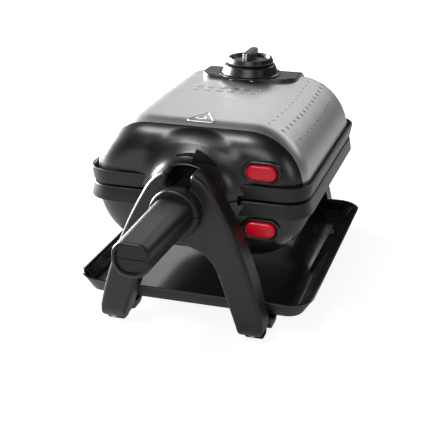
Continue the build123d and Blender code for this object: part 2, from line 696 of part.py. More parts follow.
with BuildPart() as upper_latch:
    with BuildSketch(side_on(BUTTON_X - 4.6)):
        with BuildLine():
            lever = [
                (-1.0, 10.4), (1.0, 10.4), (1.0, 2.2), (2.4, 0.8), (2.4, -1.6), (1.3, -3.0),
                (1.3, -5.9), (3.8, -6.0), (3.4, -7.2), (0.0, -7.2), (0.0, -3.0),
                (-2.0, -1.6), (-2.0, 0.8), (-1.0, 2.2),
            ]
            Polyline(*[(LATCH_Y + y, AXIS_Z + LATCH_RISE + z) for y, z in lever], close=True)
        make_face()
    extrude(amount=9.2)
    with Locations((BUTTON_X, LATCH_Y, AXIS_Z + LATCH_RISE)):
        Cylinder(1.25, 40, rotation=(0, 90, 0), mode=Mode.SUBTRACT)

with BuildPart() as upper_latch_pin:
    with Locations((BUTTON_X, LATCH_Y, AXIS_Z + LATCH_RISE)):
        Cylinder(1.2, 19, rotation=(0, 90, 0))

with BuildPart() as latch_coil:
    with BuildLine() as coil_path:
        Helix(pitch=1.3, height=3.2, radius=2.3)
    with BuildSketch(Plane(origin=coil_path.line @ 0, z_dir=coil_path.line % 0)):
        Circle(0.45)
    sweep(is_frenet=True)
with BuildPart() as upper_latch_spring:
    with Locations(
        Location((BUTTON_X - 9.2, LATCH_Y, AXIS_Z + LATCH_RISE), (0, 90, 0))
    ):
        add(latch_coil.part)

with BuildPart() as upper_clips:
    for x in (-40, 40):
        with Locations((x, BODY_FRONT + 186.2, AXIS_Z + 4.0)):
            Box(12, 1.6, 9.0, align=(Align.CENTER, Align.MIN, Align.MIN))
            with Locations((0, 0, 0)):
                Box(12, 4.2, 1.4, align=(Align.CENTER, Align.MIN, Align.MIN))

# Knob ------------------------------------------------------------------------------------
knob_foot = plate_top + 9.0
grip_rise = 8.6
with BuildPart() as knob_turned:
    with BuildSketch(Plane.XZ):
        with BuildLine():
            Polyline(
                (0, knob_foot), (18.6, knob_foot), (19.6, knob_foot + 0.8),
                (19.6, knob_foot + 2.0), (18.4, knob_foot + 5.0), (16.6, knob_foot + 5.0),
                (15.4, knob_foot + 2.6), (0, knob_foot + 2.6), close=True,
            )
        make_face()
    revolve(axis=Axis.Z)
    with BuildSketch(Plane.XY.offset(knob_foot + 2)):
        SlotOverall(31.0, 7.6, rotation=90)
    extrude(amount=grip_rise, taper=3)
    fillet(knob_turned.faces().sort_by(Axis.Z)[-1].edges(), 1.0)
    with Locations((0, -14.8, knob_foot + grip_rise + 3)):
        Box(2.2, 3.4, grip_rise + 1, align=BELOW, mode=Mode.SUBTRACT)
with BuildPart() as thermostat_knob:
    with Locations((0, KNOB_Y, 0)):
        add(knob_turned.part)
    with Locations((0, KNOB_Y, knob_foot - 0.1)):
        Cylinder(3.02, 8.0, align=ABOVE, mode=Mode.SUBTRACT)

with BuildPart() as knob_pointer:
    with Locations((0, KNOB_Y - 14.0, knob_foot + grip_rise + 1.6)):
        Box(2.0, 1.6, grip_rise - 1.4, align=BELOW)

with BuildPart() as knob_shaft:
    with Locations((0, KNOB_Y, AXIS_Z + 27.0)):
        Cylinder(3.0, knob_foot + 7.6 - AXIS_Z - 27.0, align=ABOVE)

# Lower half --------------------------------------------------------------------------------
with BuildPart() as lower_casing:
    mirror(outer_dome, about=PARTING)
    mirror(inner_dome, about=PARTING, mode=Mode.SUBTRACT)
    with Locations((0, BODY_MIDDLE, 2 * AXIS_Z - dome_foot)):
        Box(room, room, room, align=BELOW, mode=Mode.INTERSECT)
    mirror(neck_half.part, about=PARTING)
    mirror(inner_neck, about=PARTING, mode=Mode.SUBTRACT)
    extrude(
        pill(facing(NECK_FRONT), (BUTTON_X, AXIS_Z - BUTTON_RISE), 29.6, 17.6),
        amount=-30, mode=Mode.SUBTRACT,
    )

with BuildPart() as lower_rim:
    mirror(upper_rim.part, about=PARTING)

with BuildPart() as lower_plate:
    mirror(cast_plate, about=PARTING)

with BuildPart() as lower_heater:
    mirror(element, about=PARTING)

with BuildPart() as lower_reflector:
    mirror(pan.part, about=PARTING)

with BuildPart() as lower_bezel:
    mirror(upper_bezel.part, about=PARTING)

with BuildPart() as lower_button:
    mirror(upper_button.part, about=PARTING)

with BuildPart() as lower_latch:
    mirror(upper_latch.part, about=PARTING)

with BuildPart() as lower_latch_pin:
    mirror(upper_latch_pin.part, about=PARTING)

with BuildPart() as lower_latch_spring:
    mirror(upper_latch_spring.part, about=PARTING)

with BuildPart() as lower_clips:
    mirror(upper_clips.part, about=PARTING)

lower_grip = handle_half(-1, lower_tip, lower_root)
with BuildPart() as lower_handle:
    add(lower_grip)

with BuildPart() as front_journal:
    with BuildSketch(facing(BODY_FRONT - 32.4)):
        with Locations((0, AXIS_Z)):
            Circle(JOURNAL_RADIUS)
            Circle(10.5, mode=Mode.SUBTRACT)
            Rectangle(13, 30, align=(Align.CENTER, Align.MIN), mode=Mode.SUBTRACT)
    extrude(amount=-23.0)
    with BuildSketch(facing(BODY_FRONT - 9.4)):
        with Locations((0, AXIS_Z)):
            Circle(24.0)
        with Locations((0, AXIS_Z - 0.8)):
            Rectangle(60, 40, align=(Align.CENTER, Align.MAX), mode=Mode.INTERSECT)
    extrude(amount=-2.6)
    with Locations((0, BODY_FRONT - 62, AXIS_Z - 0.8)):
        Box(14, 53, 8.0, align=(Align.CENTER, Align.MIN, Align.MAX))

with BuildPart() as rear_trunnion:
    with BuildSketch(facing(BODY_BACK + 2.0)):
        with Locations((0, AXIS_Z)):
            Circle(25.0)
            Circle(8.0, mode=Mode.SUBTRACT)
    extrude(amount=-4.0)
    with BuildSketch(facing(BODY_BACK + 6.0)):
        with Locations((0, AXIS_Z)):
            Circle(TRUNNION_RADIUS)
            Circle(8.0, mode=Mode.SUBTRACT)
    extrude(amount=-(REAR_STAND_BACK - 9.6 - BODY_BACK - 6.0))
    with Locations((0, DOME_BACK + FIT, AXIS_Z - 13.2)):
        Box(
            36, BODY_BACK + 2.4 - DOME_BACK - FIT, 9,
            align=(Align.CENTER, Align.MIN, Align.MAX),
        )

ear_low, ear_high = AXIS_Z - 12.0, AXIS_Z + 12.0
with BuildPart() as hinge_bracket:
    bracket_face = BODY_BACK + 1.0
    for side in (-1, 1):
        for x in (knuckle_x - 6.7, knuckle_x + 6.7):
            with BuildSketch(side_on(side * x - 2.2)):
                with BuildLine():
                    Polyline(
                        (bracket_face, ear_low), (bracket_face + 6.0, ear_low),
                        (HINGE_Y + 7.0, HINGE_Z), (HINGE_Y - 5.0, HINGE_Z),
                        (bracket_face, ear_high), close=True,
                    )
                make_face()
                with Locations((HINGE_Y, HINGE_Z)):
                    Circle(7.0)
                    Circle(HINGE_PIN + 0.01, mode=Mode.SUBTRACT)
            extrude(amount=4.4)
        with Locations((side * knuckle_x, bracket_face, AXIS_Z)):
            Box(17.8, 2.2, 24.0, align=(Align.CENTER, Align.MIN, Align.CENTER))

with BuildPart() as hinge_pins:
    for side in (-1, 1):
        with Locations((side * knuckle_x, HINGE_Y, HINGE_Z)):
            Cylinder(HINGE_PIN, 19.0, rotation=(0, 90, 0))

with BuildPart() as terminal_block:
    with Locations((0, BODY_FRONT + 176, AXIS_Z - 30)):
        Box(34, 12, 10)
        with Locations((-11, 0, 5), (0, 0, 5), (11, 0, 5)):
            Cylinder(2.6, 5.0, align=BELOW, mode=Mode.SUBTRACT)

screw_x, screw_y = (-65.0, 65.0), (BODY_FRONT + 40.0, BODY_FRONT + 160.0)
with BuildPart() as casing_screws:
    for x in screw_x:
        for y in screw_y:
            with Locations((x, y, AXIS_Z - 26.0)):
                Cylinder(1.5, 11.0, align=ABOVE)
                Cylinder(3.0, 2.2, align=BELOW)
with BuildPart() as lid_screws:
    mirror(casing_screws.part, about=PARTING)

PIECES = {
    "front_stand": front_stand,
    "front_stand_cover": front_stand_cover,
    "rear_stand": rear_stand,
    "rear_stand_cover": rear_stand_cover,
    "base_rails": base_rails,
    "tray_rests": tray_rests,
    "foot_pads": foot_pads,
    "front_bush": front_bush,
    "rear_bush": rear_bush,
    "rear_hub_cap": rear_hub_cap,
    "cord_gland": cord_gland,
    "stand_screws": stand_screws,
    "drip_tray": drip_tray,
    "front_cap": front_cap,
    "steel_cover": steel_cover,
    "rear_cap": back_cover,
    "upper_rim": upper_rim,
    "upper_plate": upper_plate,
    "upper_heater": upper_heater,
    "upper_reflector": upper_reflector,
    "upper_handle": upper_handle,
    "handle_web": handle_web,
    "hinge_knuckles": hinge_knuckles,
    "thermostat": thermostat,
    "thermal_fuse": thermal_fuse,
    "knob_skirt": knob_skirt,
    "dial_marks": dial_marks,
    "upper_bezel": upper_bezel,
    "upper_button": upper_button,
    "upper_latch": upper_latch,
    "upper_latch_pin": upper_latch_pin,
    "upper_latch_spring": upper_latch_spring,
    "upper_clips": upper_clips,
    "lid_screws": lid_screws,
    "thermostat_knob": thermostat_knob,
    "knob_pointer": knob_pointer,
    "knob_shaft": knob_shaft,
    "lower_casing": lower_casing,
    "lower_rim": lower_rim,
    "lower_plate": lower_plate,
    "lower_heater": lower_heater,
    "lower_reflector": lower_reflector,
    "lower_bezel": lower_bezel,
    "lower_button": lower_button,
    "lower_latch": lower_latch,
    "lower_latch_pin": lower_latch_pin,
    "lower_latch_spring": lower_latch_spring,
    "lower_clips": lower_clips,
    "lower_handle": lower_handle,
    "front_journal": front_journal,
    "rear_trunnion": rear_trunnion,
    "hinge_bracket": hinge_bracket,
    "hinge_pins": hinge_pins,
    "terminal_block": terminal_block,
    "casing_screws": casing_screws,
}
for label, piece in PIECES.items():
    piece.part.label = label
    export_step(piece.part, f"parts/{label}.step")
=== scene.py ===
"""Rotating waffle maker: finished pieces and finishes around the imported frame.

Every piece is built in millimetres in the frame's own axes, where +Z is up and the handle
points to -Y, and is written to its mesh in metres.
"""

import json
import logging
from dataclasses import dataclass
from enum import Enum
from math import atan2, cos, pi, radians, sin, tau
from typing import Callable, Sequence

import bmesh
import bpy
import numpy as np
from mathutils import Matrix, Vector


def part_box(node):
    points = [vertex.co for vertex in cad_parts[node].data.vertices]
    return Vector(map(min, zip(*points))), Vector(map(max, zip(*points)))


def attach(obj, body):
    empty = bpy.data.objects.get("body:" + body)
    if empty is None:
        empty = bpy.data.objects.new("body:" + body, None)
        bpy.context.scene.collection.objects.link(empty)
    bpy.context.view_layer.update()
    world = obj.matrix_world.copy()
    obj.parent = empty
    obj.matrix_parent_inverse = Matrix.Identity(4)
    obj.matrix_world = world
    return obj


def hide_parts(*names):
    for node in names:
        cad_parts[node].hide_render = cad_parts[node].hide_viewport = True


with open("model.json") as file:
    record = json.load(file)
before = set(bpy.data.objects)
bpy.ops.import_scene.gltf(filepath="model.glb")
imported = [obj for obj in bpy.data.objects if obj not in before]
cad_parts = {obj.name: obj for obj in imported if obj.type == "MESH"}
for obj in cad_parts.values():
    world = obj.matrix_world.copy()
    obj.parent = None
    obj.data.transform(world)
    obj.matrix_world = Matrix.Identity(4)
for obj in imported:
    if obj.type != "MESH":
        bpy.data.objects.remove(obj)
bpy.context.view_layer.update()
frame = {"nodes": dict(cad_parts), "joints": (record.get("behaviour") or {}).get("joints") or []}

MM = 0.001  # metres in a millimetre
log = logging.getLogger("waffle_maker")

Rings = Sequence[np.ndarray]
Faces = list[tuple[int, ...]]


class Half(Enum):
    """Which half of the body a piece belongs to, as the sign of its height over the axis."""

    UPPER = 1
    LOWER = -1


def box_mm(node: str) -> tuple[Vector, Vector]:
    """A CAD node's low and high corners in millimetres."""
    low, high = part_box(node)
    return low / MM, high / MM


# Shader node groups -----------------------------------------------------------------------
EDGE_SAMPLES = 4
EDGE_GAIN = 3.5  # how fast wear grows as an edge turns away


def new_group(name: str, inputs: dict[str, object], outputs: Sequence[str]) -> tuple:
    """Starts a shader node group with named sockets.

    Args:
        name: the group's name.
        inputs: each input's name and its default, a number or a vector.
        outputs: the names of its number outputs.

    Returns:
        The group, its input node and its output node.
    """
    group = bpy.data.node_groups.new(name, "ShaderNodeTree")
    for label, default in inputs.items():
        kind = "NodeSocketVector" if isinstance(default, tuple) else "NodeSocketFloat"
        socket = group.interface.new_socket(label, in_out="INPUT", socket_type=kind)
        socket.default_value = default
    for label in outputs:
        group.interface.new_socket(label, in_out="OUTPUT", socket_type="NodeSocketFloat")
    return group, group.nodes.new("NodeGroupInput"), group.nodes.new("NodeGroupOutput")


def math_node(tree: bpy.types.NodeTree, operation: str, *values: object) -> bpy.types.Node:
    """Adds a math node whose inputs are sockets or plain numbers."""
    node = tree.nodes.new("ShaderNodeMath")
    node.operation = operation
    for socket, value in zip(node.inputs, values):
        if isinstance(value, bpy.types.NodeSocket):
            tree.links.new(value, socket)
        else:
            socket.default_value = value
    return node


def grain_group() -> bpy.types.NodeTree:
    """Fine moulded or brushed grain, stretched along one axis where that is asked for."""
    inputs = {"Scale": 1800.0, "Stretch": (1.0, 1.0, 1.0), "Mottle Scale": 60.0}
    group, start, end = new_group("Fine Grain", inputs, ("Height", "Mottle"))
    place = group.nodes.new("ShaderNodeTexCoord")
    stretch = group.nodes.new("ShaderNodeVectorMath")
    stretch.operation = "MULTIPLY"
    group.links.new(place.outputs["Object"], stretch.inputs[0])
    group.links.new(start.outputs["Stretch"], stretch.inputs[1])
    for scale, label, detail in (("Scale", "Height", 2.0), ("Mottle Scale", "Mottle", 3.0)):
        noise = group.nodes.new("ShaderNodeTexNoise")
        noise.inputs["Detail"].default_value = detail
        group.links.new(stretch.outputs[0], noise.inputs["Vector"])
        group.links.new(start.outputs[scale], noise.inputs["Scale"])
        group.links.new(noise.outputs["Fac"], end.inputs[label])
    return group


def gloss_group() -> bpy.types.NodeTree:
    """Roughness that wanders a little over the surface, as handled plastic and metal have."""
    inputs = {"Base": 0.4, "Spread": 0.06, "Mottle": 0.5}
    group, start, end = new_group("Uneven Gloss", inputs, ("Roughness",))
    centred = math_node(group, "SUBTRACT", start.outputs["Mottle"], 0.5)
    swing = math_node(group, "MULTIPLY", centred.outputs[0], start.outputs["Spread"])
    total = math_node(group, "ADD", swing.outputs[0], start.outputs["Base"])
    total.use_clamp = True
    group.links.new(total.outputs[0], end.inputs["Roughness"])
    return group


def wear_group() -> bpy.types.NodeTree:
    """A mask that is high on rounded-over edges, broken up by grain."""
    inputs = {"Radius": 0.0006, "Amount": 0.3, "Mottle": 0.5}
    group, start, end = new_group("Edge Wear", inputs, ("Mask",))
    bevel = group.nodes.new("ShaderNodeBevel")
    bevel.samples = EDGE_SAMPLES
    group.links.new(start.outputs["Radius"], bevel.inputs["Radius"])
    surface = group.nodes.new("ShaderNodeNewGeometry")
    dot = group.nodes.new("ShaderNodeVectorMath")
    dot.operation = "DOT_PRODUCT"
    group.links.new(bevel.outputs["Normal"], dot.inputs[0])
    group.links.new(surface.outputs["Normal"], dot.inputs[1])
    turned = math_node(group, "SUBTRACT", 1.0, dot.outputs["Value"])
    sharp = math_node(group, "MULTIPLY", turned.outputs[0], EDGE_GAIN)
    sharp.use_clamp = True
    patchy = math_node(group, "MULTIPLY", sharp.outputs[0], start.outputs["Mottle"])
    mask = math_node(group, "MULTIPLY", patchy.outputs[0], start.outputs["Amount"])
    mask.use_clamp = True
    group.links.new(mask.outputs[0], end.inputs["Mask"])
    return group


@dataclass(frozen=True)
class Finish:
    """A moulded, painted or metal finish: its colour, gloss, grain and edge wear."""

    name: str
    colour: tuple[float, float, float]
    roughness: float
    metallic: float = 0.0
    specular: float = 0.5
    coat: float = 0.0
    coat_roughness: float = 0.08
    grain_scale: float = 2200.0
    grain_depth: float = 0.010  # mm
    stretch: tuple[float, float, float] = (1.0, 1.0, 1.0)
    gloss_spread: float = 0.08
    shade_spread: float = 0.25
    wear: float = 0.35
    worn_lift: float = 2.2
    bump: float = 0.6
    brightest: float = 0.95

    def material(self, groups: dict[str, bpy.types.NodeTree]) -> bpy.types.Material:
        """Builds the finish as a node material.

        Args:
            groups: the shared node groups by name.

        Returns:
            The material.
        """
        made = bpy.data.materials.new(self.name)
        made.use_nodes = True
        tree = made.node_tree
        link = tree.links.new
        shader = tree.nodes["Principled BSDF"]
        shader.inputs["Metallic"].default_value = self.metallic
        shader.inputs["Specular IOR Level"].default_value = self.specular
        shader.inputs["Coat Weight"].default_value = self.coat
        shader.inputs["Coat Roughness"].default_value = self.coat_roughness

        grain = self._placed(tree, groups["grain"], Scale=self.grain_scale, Stretch=self.stretch)
        gloss = self._placed(
            tree, groups["gloss"], Base=self.roughness, Spread=self.gloss_spread
        )
        wear = self._placed(tree, groups["wear"], Amount=self.wear)
        link(grain.outputs["Mottle"], gloss.inputs["Mottle"])
        link(grain.outputs["Mottle"], wear.inputs["Mottle"])
        link(gloss.outputs["Roughness"], shader.inputs["Roughness"])

        tone = tree.nodes.new("ShaderNodeMix")
        tone.data_type = "RGBA"
        tone.inputs["A"].default_value = (*self._lifted(1 - self.shade_spread), 1)
        tone.inputs["B"].default_value = (*self._lifted(1 + self.shade_spread), 1)
        link(grain.outputs["Mottle"], tone.inputs["Factor"])
        edge = tree.nodes.new("ShaderNodeMix")
        edge.data_type = "RGBA"
        edge.inputs["B"].default_value = (*self._lifted(self.worn_lift), 1)
        link(wear.outputs["Mask"], edge.inputs["Factor"])
        link(tone.outputs["Result"], edge.inputs["A"])
        link(edge.outputs["Result"], shader.inputs["Base Color"])

        bump = tree.nodes.new("ShaderNodeBump")
        bump.inputs["Strength"].default_value = self.bump
        bump.inputs["Distance"].default_value = self.grain_depth * MM
        link(grain.outputs["Height"], bump.inputs["Height"])
        link(bump.outputs["Normal"], shader.inputs["Normal"])
        return made

    def _lifted(self, share: float) -> tuple[float, ...]:
        """The colour made lighter or darker by a share, kept under white."""
        return tuple(min(channel * share, self.brightest) for channel in self.colour)

    @staticmethod
    def _placed(tree: bpy.types.NodeTree, group: bpy.types.NodeTree, **values) -> bpy.types.Node:
        """Places a shared group in a material with its own values."""
        node = tree.nodes.new("ShaderNodeGroup")
        node.node_tree = group
        for label, value in values.items():
            node.inputs[label].default_value = value
        return node


class Palette:
    """Every finish of the waffle maker, built once from shared node groups."""

    BRUSHED = (0.04, 1.0, 1.0)
    FINISHES = (
        Finish("Satin Black Casing", (0.007, 0.007, 0.0073), 0.32, specular=0.9),
        Finish("Stand Black", (0.008, 0.008, 0.0082), 0.42, specular=0.7, grain_depth=0.014),
        Finish("Rim Grey", (0.018, 0.018, 0.0185), 0.40, grain_depth=0.016),
        Finish("Handle Black", (0.011, 0.0115, 0.012), 0.36, grain_depth=0.020),
        Finish("Gloss Black", (0.004, 0.004, 0.0042), 0.09, coat=0.6, grain_depth=0.002),
        Finish("Tray Panel", (0.004, 0.004, 0.0042), 0.14, grain_depth=0.004),
        Finish("Tray Outside", (0.035, 0.035, 0.036), 0.38, grain_depth=0.012),
        Finish(
            "Satin Steel", (0.72, 0.725, 0.73), 0.42, metallic=1.0, grain_scale=2600.0,
            grain_depth=0.006, stretch=BRUSHED, shade_spread=0.06, worn_lift=1.2,
        ),
        Finish("Drawn Steel", (0.50, 0.50, 0.51), 0.28, metallic=1.0, worn_lift=1.3),
        Finish("Zinc", (0.62, 0.62, 0.60), 0.32, metallic=1.0, worn_lift=1.2),
        Finish("Bright Sheet", (0.78, 0.78, 0.79), 0.24, metallic=1.0, worn_lift=1.1),
        Finish("Non-stick Coating", (0.022, 0.022, 0.023), 0.46, grain_depth=0.03),
        Finish("Heater Sheath", (0.07, 0.075, 0.065), 0.6, metallic=0.6),
        Finish(
            "Red Button", (0.92, 0.002, 0.028), 0.30, coat=0.25, shade_spread=0.08,
            worn_lift=1.2, wear=0.2,
        ),
        Finish("Foot Rubber", (0.009, 0.009, 0.009), 0.62, grain_depth=0.03, wear=0.1),
        Finish("Bearing Plastic", (0.055, 0.055, 0.056), 0.45),
        Finish("Heat-proof Plastic", (0.42, 0.39, 0.32), 0.5, shade_spread=0.1),
        Finish("Pale Mark", (0.62, 0.62, 0.62), 0.4, shade_spread=0.05, worn_lift=1.1),
        Finish("Dark Web", (0.006, 0.006, 0.006), 0.3),
        Finish("Arrow Black", (0.002, 0.002, 0.002), 0.55, specular=0.15, wear=0.0),
    )

    def __init__(self) -> None:
        groups = {"grain": grain_group(), "gloss": gloss_group(), "wear": wear_group()}
        self.made = {finish.name: finish.material(groups) for finish in self.FINISHES}

    def __getitem__(self, name: str) -> bpy.types.Material:
        """The material of a named finish."""
        return self.made[name]


# Mesh building ------------------------------------------------------------------------------
WELD_REACH = 0.00001  # metres


def strip_faces(rows: int, columns: int, closed: bool, flip: bool = False) -> Faces:
    """Quads between neighbouring rows of a point grid.

    Args:
        rows: how many rows the grid has.
        columns: how many points a row has.
        closed: whether the last column joins the first.
        flip: whether the faces look the other way.

    Returns:
        The faces as point numbers.
    """
    faces = []
    for i in range(rows - 1):
        for j in range(columns if closed else columns - 1):
            k = (j + 1) % columns
            quad = (i * columns + j, i * columns + k, (i + 1) * columns + k, (i + 1) * columns + j)
            faces.append(quad[::-1] if flip else quad)
    return faces


@dataclass
class Workshop:
    """Makes pieces from points, gives them finishes and sets them on their bodies."""

    palette: Palette

    def piece(
        self, name: str, points: np.ndarray, faces: Faces, body: str, slot: str,
        finishes: Sequence[str], face_finish: Callable[[int], int] | None = None,
        replaces: Sequence[str] = (), smooth_angle: float = 40.0,
    ) -> bpy.types.Object:
        """Makes one piece.

        Args:
            name: the piece's name.
            points: its points in millimetres, one row each.
            faces: its faces as point numbers.
            body: the body that it rides on.
            slot: the record's material slot; not used.
            finishes: the names of its finishes.
            face_finish: picks the number of a face's finish from the face's number.
            replaces: the CAD nodes that it stands for.
            smooth_angle: the sharpest turn in degrees that is still shaded smooth.

        Returns:
            The new object.
        """
        mesh = bpy.data.meshes.new(name)
        mesh.from_pydata((np.asarray(points, float) * MM).tolist(), [], faces)
        mesh.validate()
        for label in finishes:
            mesh.materials.append(self.palette[label])
        if face_finish:
            for polygon in mesh.polygons:
                polygon.material_index = face_finish(polygon.index)
        made = bpy.data.objects.new(name, mesh)
        bpy.context.scene.collection.objects.link(made)
        self.shade(made, smooth_angle)
        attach(made, body)
        if replaces:
            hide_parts(*replaces)
        log.info("%s: %d faces on %s", name, len(mesh.polygons), body)
        return made

    @staticmethod
    def shade(piece: bpy.types.Object, angle: float) -> None:
        """Shades a piece smooth, except across edges sharper than an angle in degrees."""
        mesh = piece.data
        mesh.polygons.foreach_set("use_smooth", [True] * len(mesh.polygons))
        mesh.set_sharp_from_angle(angle=radians(angle))

    @staticmethod
    def apply(piece: bpy.types.Object, kind: str, **settings) -> None:
        """Adds a modifier with settings and makes it part of the mesh."""
        modifier = piece.modifiers.new(kind.title(), kind)
        for label, value in settings.items():
            setattr(modifier, label, value)
        graph = bpy.context.evaluated_depsgraph_get()
        shaped = bpy.data.meshes.new_from_object(piece.evaluated_get(graph))
        piece.modifiers.clear()
        old, piece.data = piece.data, shaped
        bpy.data.meshes.remove(old)

    @classmethod
    def cut(cls, piece: bpy.types.Object, cutter: bpy.types.Object) -> None:
        """Cuts a shape out of a piece and removes the cutter."""
        cls.apply(piece, "BOOLEAN", object=cutter, operation="DIFFERENCE", solver="EXACT")
        bpy.data.objects.remove(cutter)

    @staticmethod
    def weld(piece: bpy.types.Object) -> None:
        """Joins points that share a place, and turns the faces outward."""
        work = bmesh.new()
        work.from_mesh(piece.data)
        bmesh.ops.remove_doubles(work, verts=work.verts, dist=WELD_REACH)
        bmesh.ops.recalc_face_normals(work, faces=work.faces)
        work.to_mesh(piece.data)
        work.free()

    @classmethod
    def cutter(cls, points: np.ndarray, faces: Faces) -> bpy.types.Object:
        """A closed shape for cutting other pieces, which is removed after use."""
        mesh = bpy.data.meshes.new("cutter")
        mesh.from_pydata((points * MM).tolist(), [], faces)
        made = bpy.data.objects.new("cutter", mesh)
        bpy.context.scene.collection.objects.link(made)
        cls.weld(made)
        return made

    def dress(self, finish: str, *nodes: str) -> None:
        """Gives CAD nodes a finish in every material slot."""
        for node in nodes:
            piece = frame["nodes"][node]
            for place in piece.material_slots:
                place.material = self.palette[finish]
            log.info("%s dressed in %s", node, finish)


def ring_loft(rings: Rings, cap_start: bool = True, cap_end: bool = True) -> tuple:
    """A skin through closed rings of equal length.

    Args:
        rings: the rings, each an array of points, seen counter-clockwise from the far end.
        cap_start: whether a face closes the first ring.
        cap_end: whether a face closes the last ring.

    Returns:
        The points and the faces.
    """
    count = len(rings[0])
    faces = strip_faces(len(rings), count, closed=True)
    if cap_start:
        faces.append(tuple(range(count))[::-1])
    if cap_end:
        faces.append(tuple(range((len(rings) - 1) * count, len(rings) * count)))
    return np.vstack(rings), faces


def rounded_ring(half_x: float, half_y: float, corner: float, arc_steps: int = 10) -> np.ndarray:
    """A rounded rectangle's outline, counter-clockwise, as points in a plane."""
    points = []
    for quarter, (sx, sy) in enumerate(((1, 1), (-1, 1), (-1, -1), (1, -1))):
        for step in range(arc_steps + 1):
            angle = (quarter + step / arc_steps) * pi / 2
            points.append((
                sx * (half_x - corner) + corner * cos(angle),
                sy * (half_y - corner) + corner * sin(angle),
            ))
    return np.array(points)


def level(outline: np.ndarray, height: float) -> np.ndarray:
    """An outline in X and Y as points at a height."""
    return np.column_stack([outline, np.full(len(outline), height)])


def upright(outline: np.ndarray, centre: Vector, y: float) -> np.ndarray:
    """An outline in X and Z round a centre as points at y."""
    return np.column_stack([
        outline[:, 0] + centre.x, np.full(len(outline), y), outline[:, 1] + centre.z,
    ])


# The body's shape ---------------------------------------------------------------------------
COVER_SEAM = 0.2  # gap between the front cap and the steel cover
HALVINGS = 36  # steps of the search along a ray


@dataclass(frozen=True)
class BodyForm:
    """The outer form of both halves: a dome with rounded ends and a trumpet-shaped neck.

    Heights are measured from the turning axis.
    """

    half: float
    rise: float
    front: float
    back: float
    lip: float
    cap_end: float
    corner: float = 45.0
    end: float = 24.0
    neck: float = 28.0
    blend: float = 10.0
    flare_reach: float = 27.5
    flare_square: float = 0.07293
    flare_cube: float = 0.001738
    neck_slope: float = 0.85  # evens out the neck's distance where it flares
    blend_fade: float = 12.0  # length over which the blend dies out before the steel

    @classmethod
    def from_frame(cls) -> "BodyForm":
        """Reads the form's main sizes from the frame."""
        low, high = box_mm("lower_casing")
        steel_low, steel_high = box_mm("steel_cover")
        return cls(
            half=high.x, rise=steel_high.z - AXIS_HEIGHT, lip=low.y,
            front=2 * MIDDLE_Y - high.y, back=high.y, cap_end=steel_low.y - COVER_SEAM,
        )

    def dome(self, x: np.ndarray, y: np.ndarray, z: np.ndarray) -> np.ndarray:
        """Distance outside the dome, negative inside."""
        over_x = np.abs(x) - (self.half - self.corner)
        over_z = np.abs(z) - (self.rise - self.corner)
        across = np.hypot(np.maximum(over_x, 0), np.maximum(over_z, 0))
        across += np.minimum(np.maximum(over_x, over_z), 0) - self.corner + self.end
        middle, reach = (self.front + self.back) / 2, (self.back - self.front) / 2
        along = np.abs(y - middle) - reach + self.end
        outside = np.hypot(np.maximum(across, 0), np.maximum(along, 0))
        return outside + np.minimum(np.maximum(across, along), 0) - self.end

    def neck_radius(self, y: np.ndarray) -> np.ndarray:
        """The neck's radius at y, growing like a trumpet behind the lip."""
        t = np.clip(y - self.lip, 0, self.flare_reach)
        return self.neck + t * t * (self.flare_square - self.flare_cube * t)

    def skin(self, x: np.ndarray, y: np.ndarray, z: np.ndarray) -> np.ndarray:
        """Distance outside the dome and neck, melted together in front of the steel."""
        dome = self.dome(x, y, z)
        neck = (np.hypot(x, z) - self.neck_radius(y)) * self.neck_slope
        soft = self.blend * np.clip((self.cap_end - 1 - y) / self.blend_fade, 0.001, 1)
        overlap = np.maximum(soft - np.abs(dome - neck), 0) / soft
        return np.minimum(dome, neck) - overlap * overlap * soft / 4

    def reach(self, start: np.ndarray, way: np.ndarray, far: float = 160.0) -> np.ndarray:
        """Where rays from inside meet the skin.

        Args:
            start: the rays' first points, in an array whose last axis is X, Y, Z.
            way: the rays' directions, in the same form.
            far: a distance that is surely outside.

        Returns:
            The points on the skin.
        """
        near_end = np.zeros(way.shape[:-1])
        far_end = np.full(way.shape[:-1], far)
        for _ in range(HALVINGS):
            middle = (near_end + far_end) / 2
            spot = start + way * middle[..., None]
            outside = self.skin(spot[..., 0], spot[..., 1], spot[..., 2]) > 0
            far_end = np.where(outside, middle, far_end)
            near_end = np.where(outside, near_end, middle)
        return start + way * far_end[..., None]

    def ring(self, y: float, angles: np.ndarray) -> np.ndarray:
        """Points of the skin's section at y, one in each direction round the axis."""
        way = np.stack([np.cos(angles), np.zeros_like(angles), np.sin(angles)], -1)
        return self.reach(np.array([0.0, y, 0.0]), way)

    def fan(self, focus: float, y_sign: int, angles: np.ndarray, lean: np.ndarray) -> np.ndarray:
        """Points of the skin on rays that leave the axis at focus.

        Args:
            focus: where on the axis the rays start.
            y_sign: -1 towards the front or 1 towards the back.
            angles: the directions round the axis.
            lean: the angles between the rays and the axis.

        Returns:
            One point for each ray.
        """
        way = np.stack(
            [np.sin(lean) * np.cos(angles), y_sign * np.cos(lean), np.sin(lean) * np.sin(angles)],
            -1,
        )
        return self.reach(np.array([0.0, focus, 0.0]), way)

    def front_y(self, x: np.ndarray, z: np.ndarray) -> np.ndarray:
        """How far forward the skin stands at x and z, seen from the front."""
        start = np.stack([x, np.full_like(x, self.cap_end), z], -1)
        return self.reach(start, np.array([0.0, -1.0, 0.0]) * np.ones_like(start))[..., 1]

    def top_z(self, x: np.ndarray, y: np.ndarray) -> np.ndarray:
        """The skin's height at x and y, seen from above."""
        start = np.stack([x, y, np.zeros_like(x)], -1)
        return self.reach(start, np.array([0.0, 0.0, 1.0]) * np.ones_like(start))[..., 2]


AXIS_HEIGHT = next(j for j in frame["joints"] if j["name"] == "body_turn")["pos_m"][2] / MM
MIDDLE_Y = sum(corner.y for corner in box_mm("upper_rim")) / 2
FORM = BodyForm.from_frame()


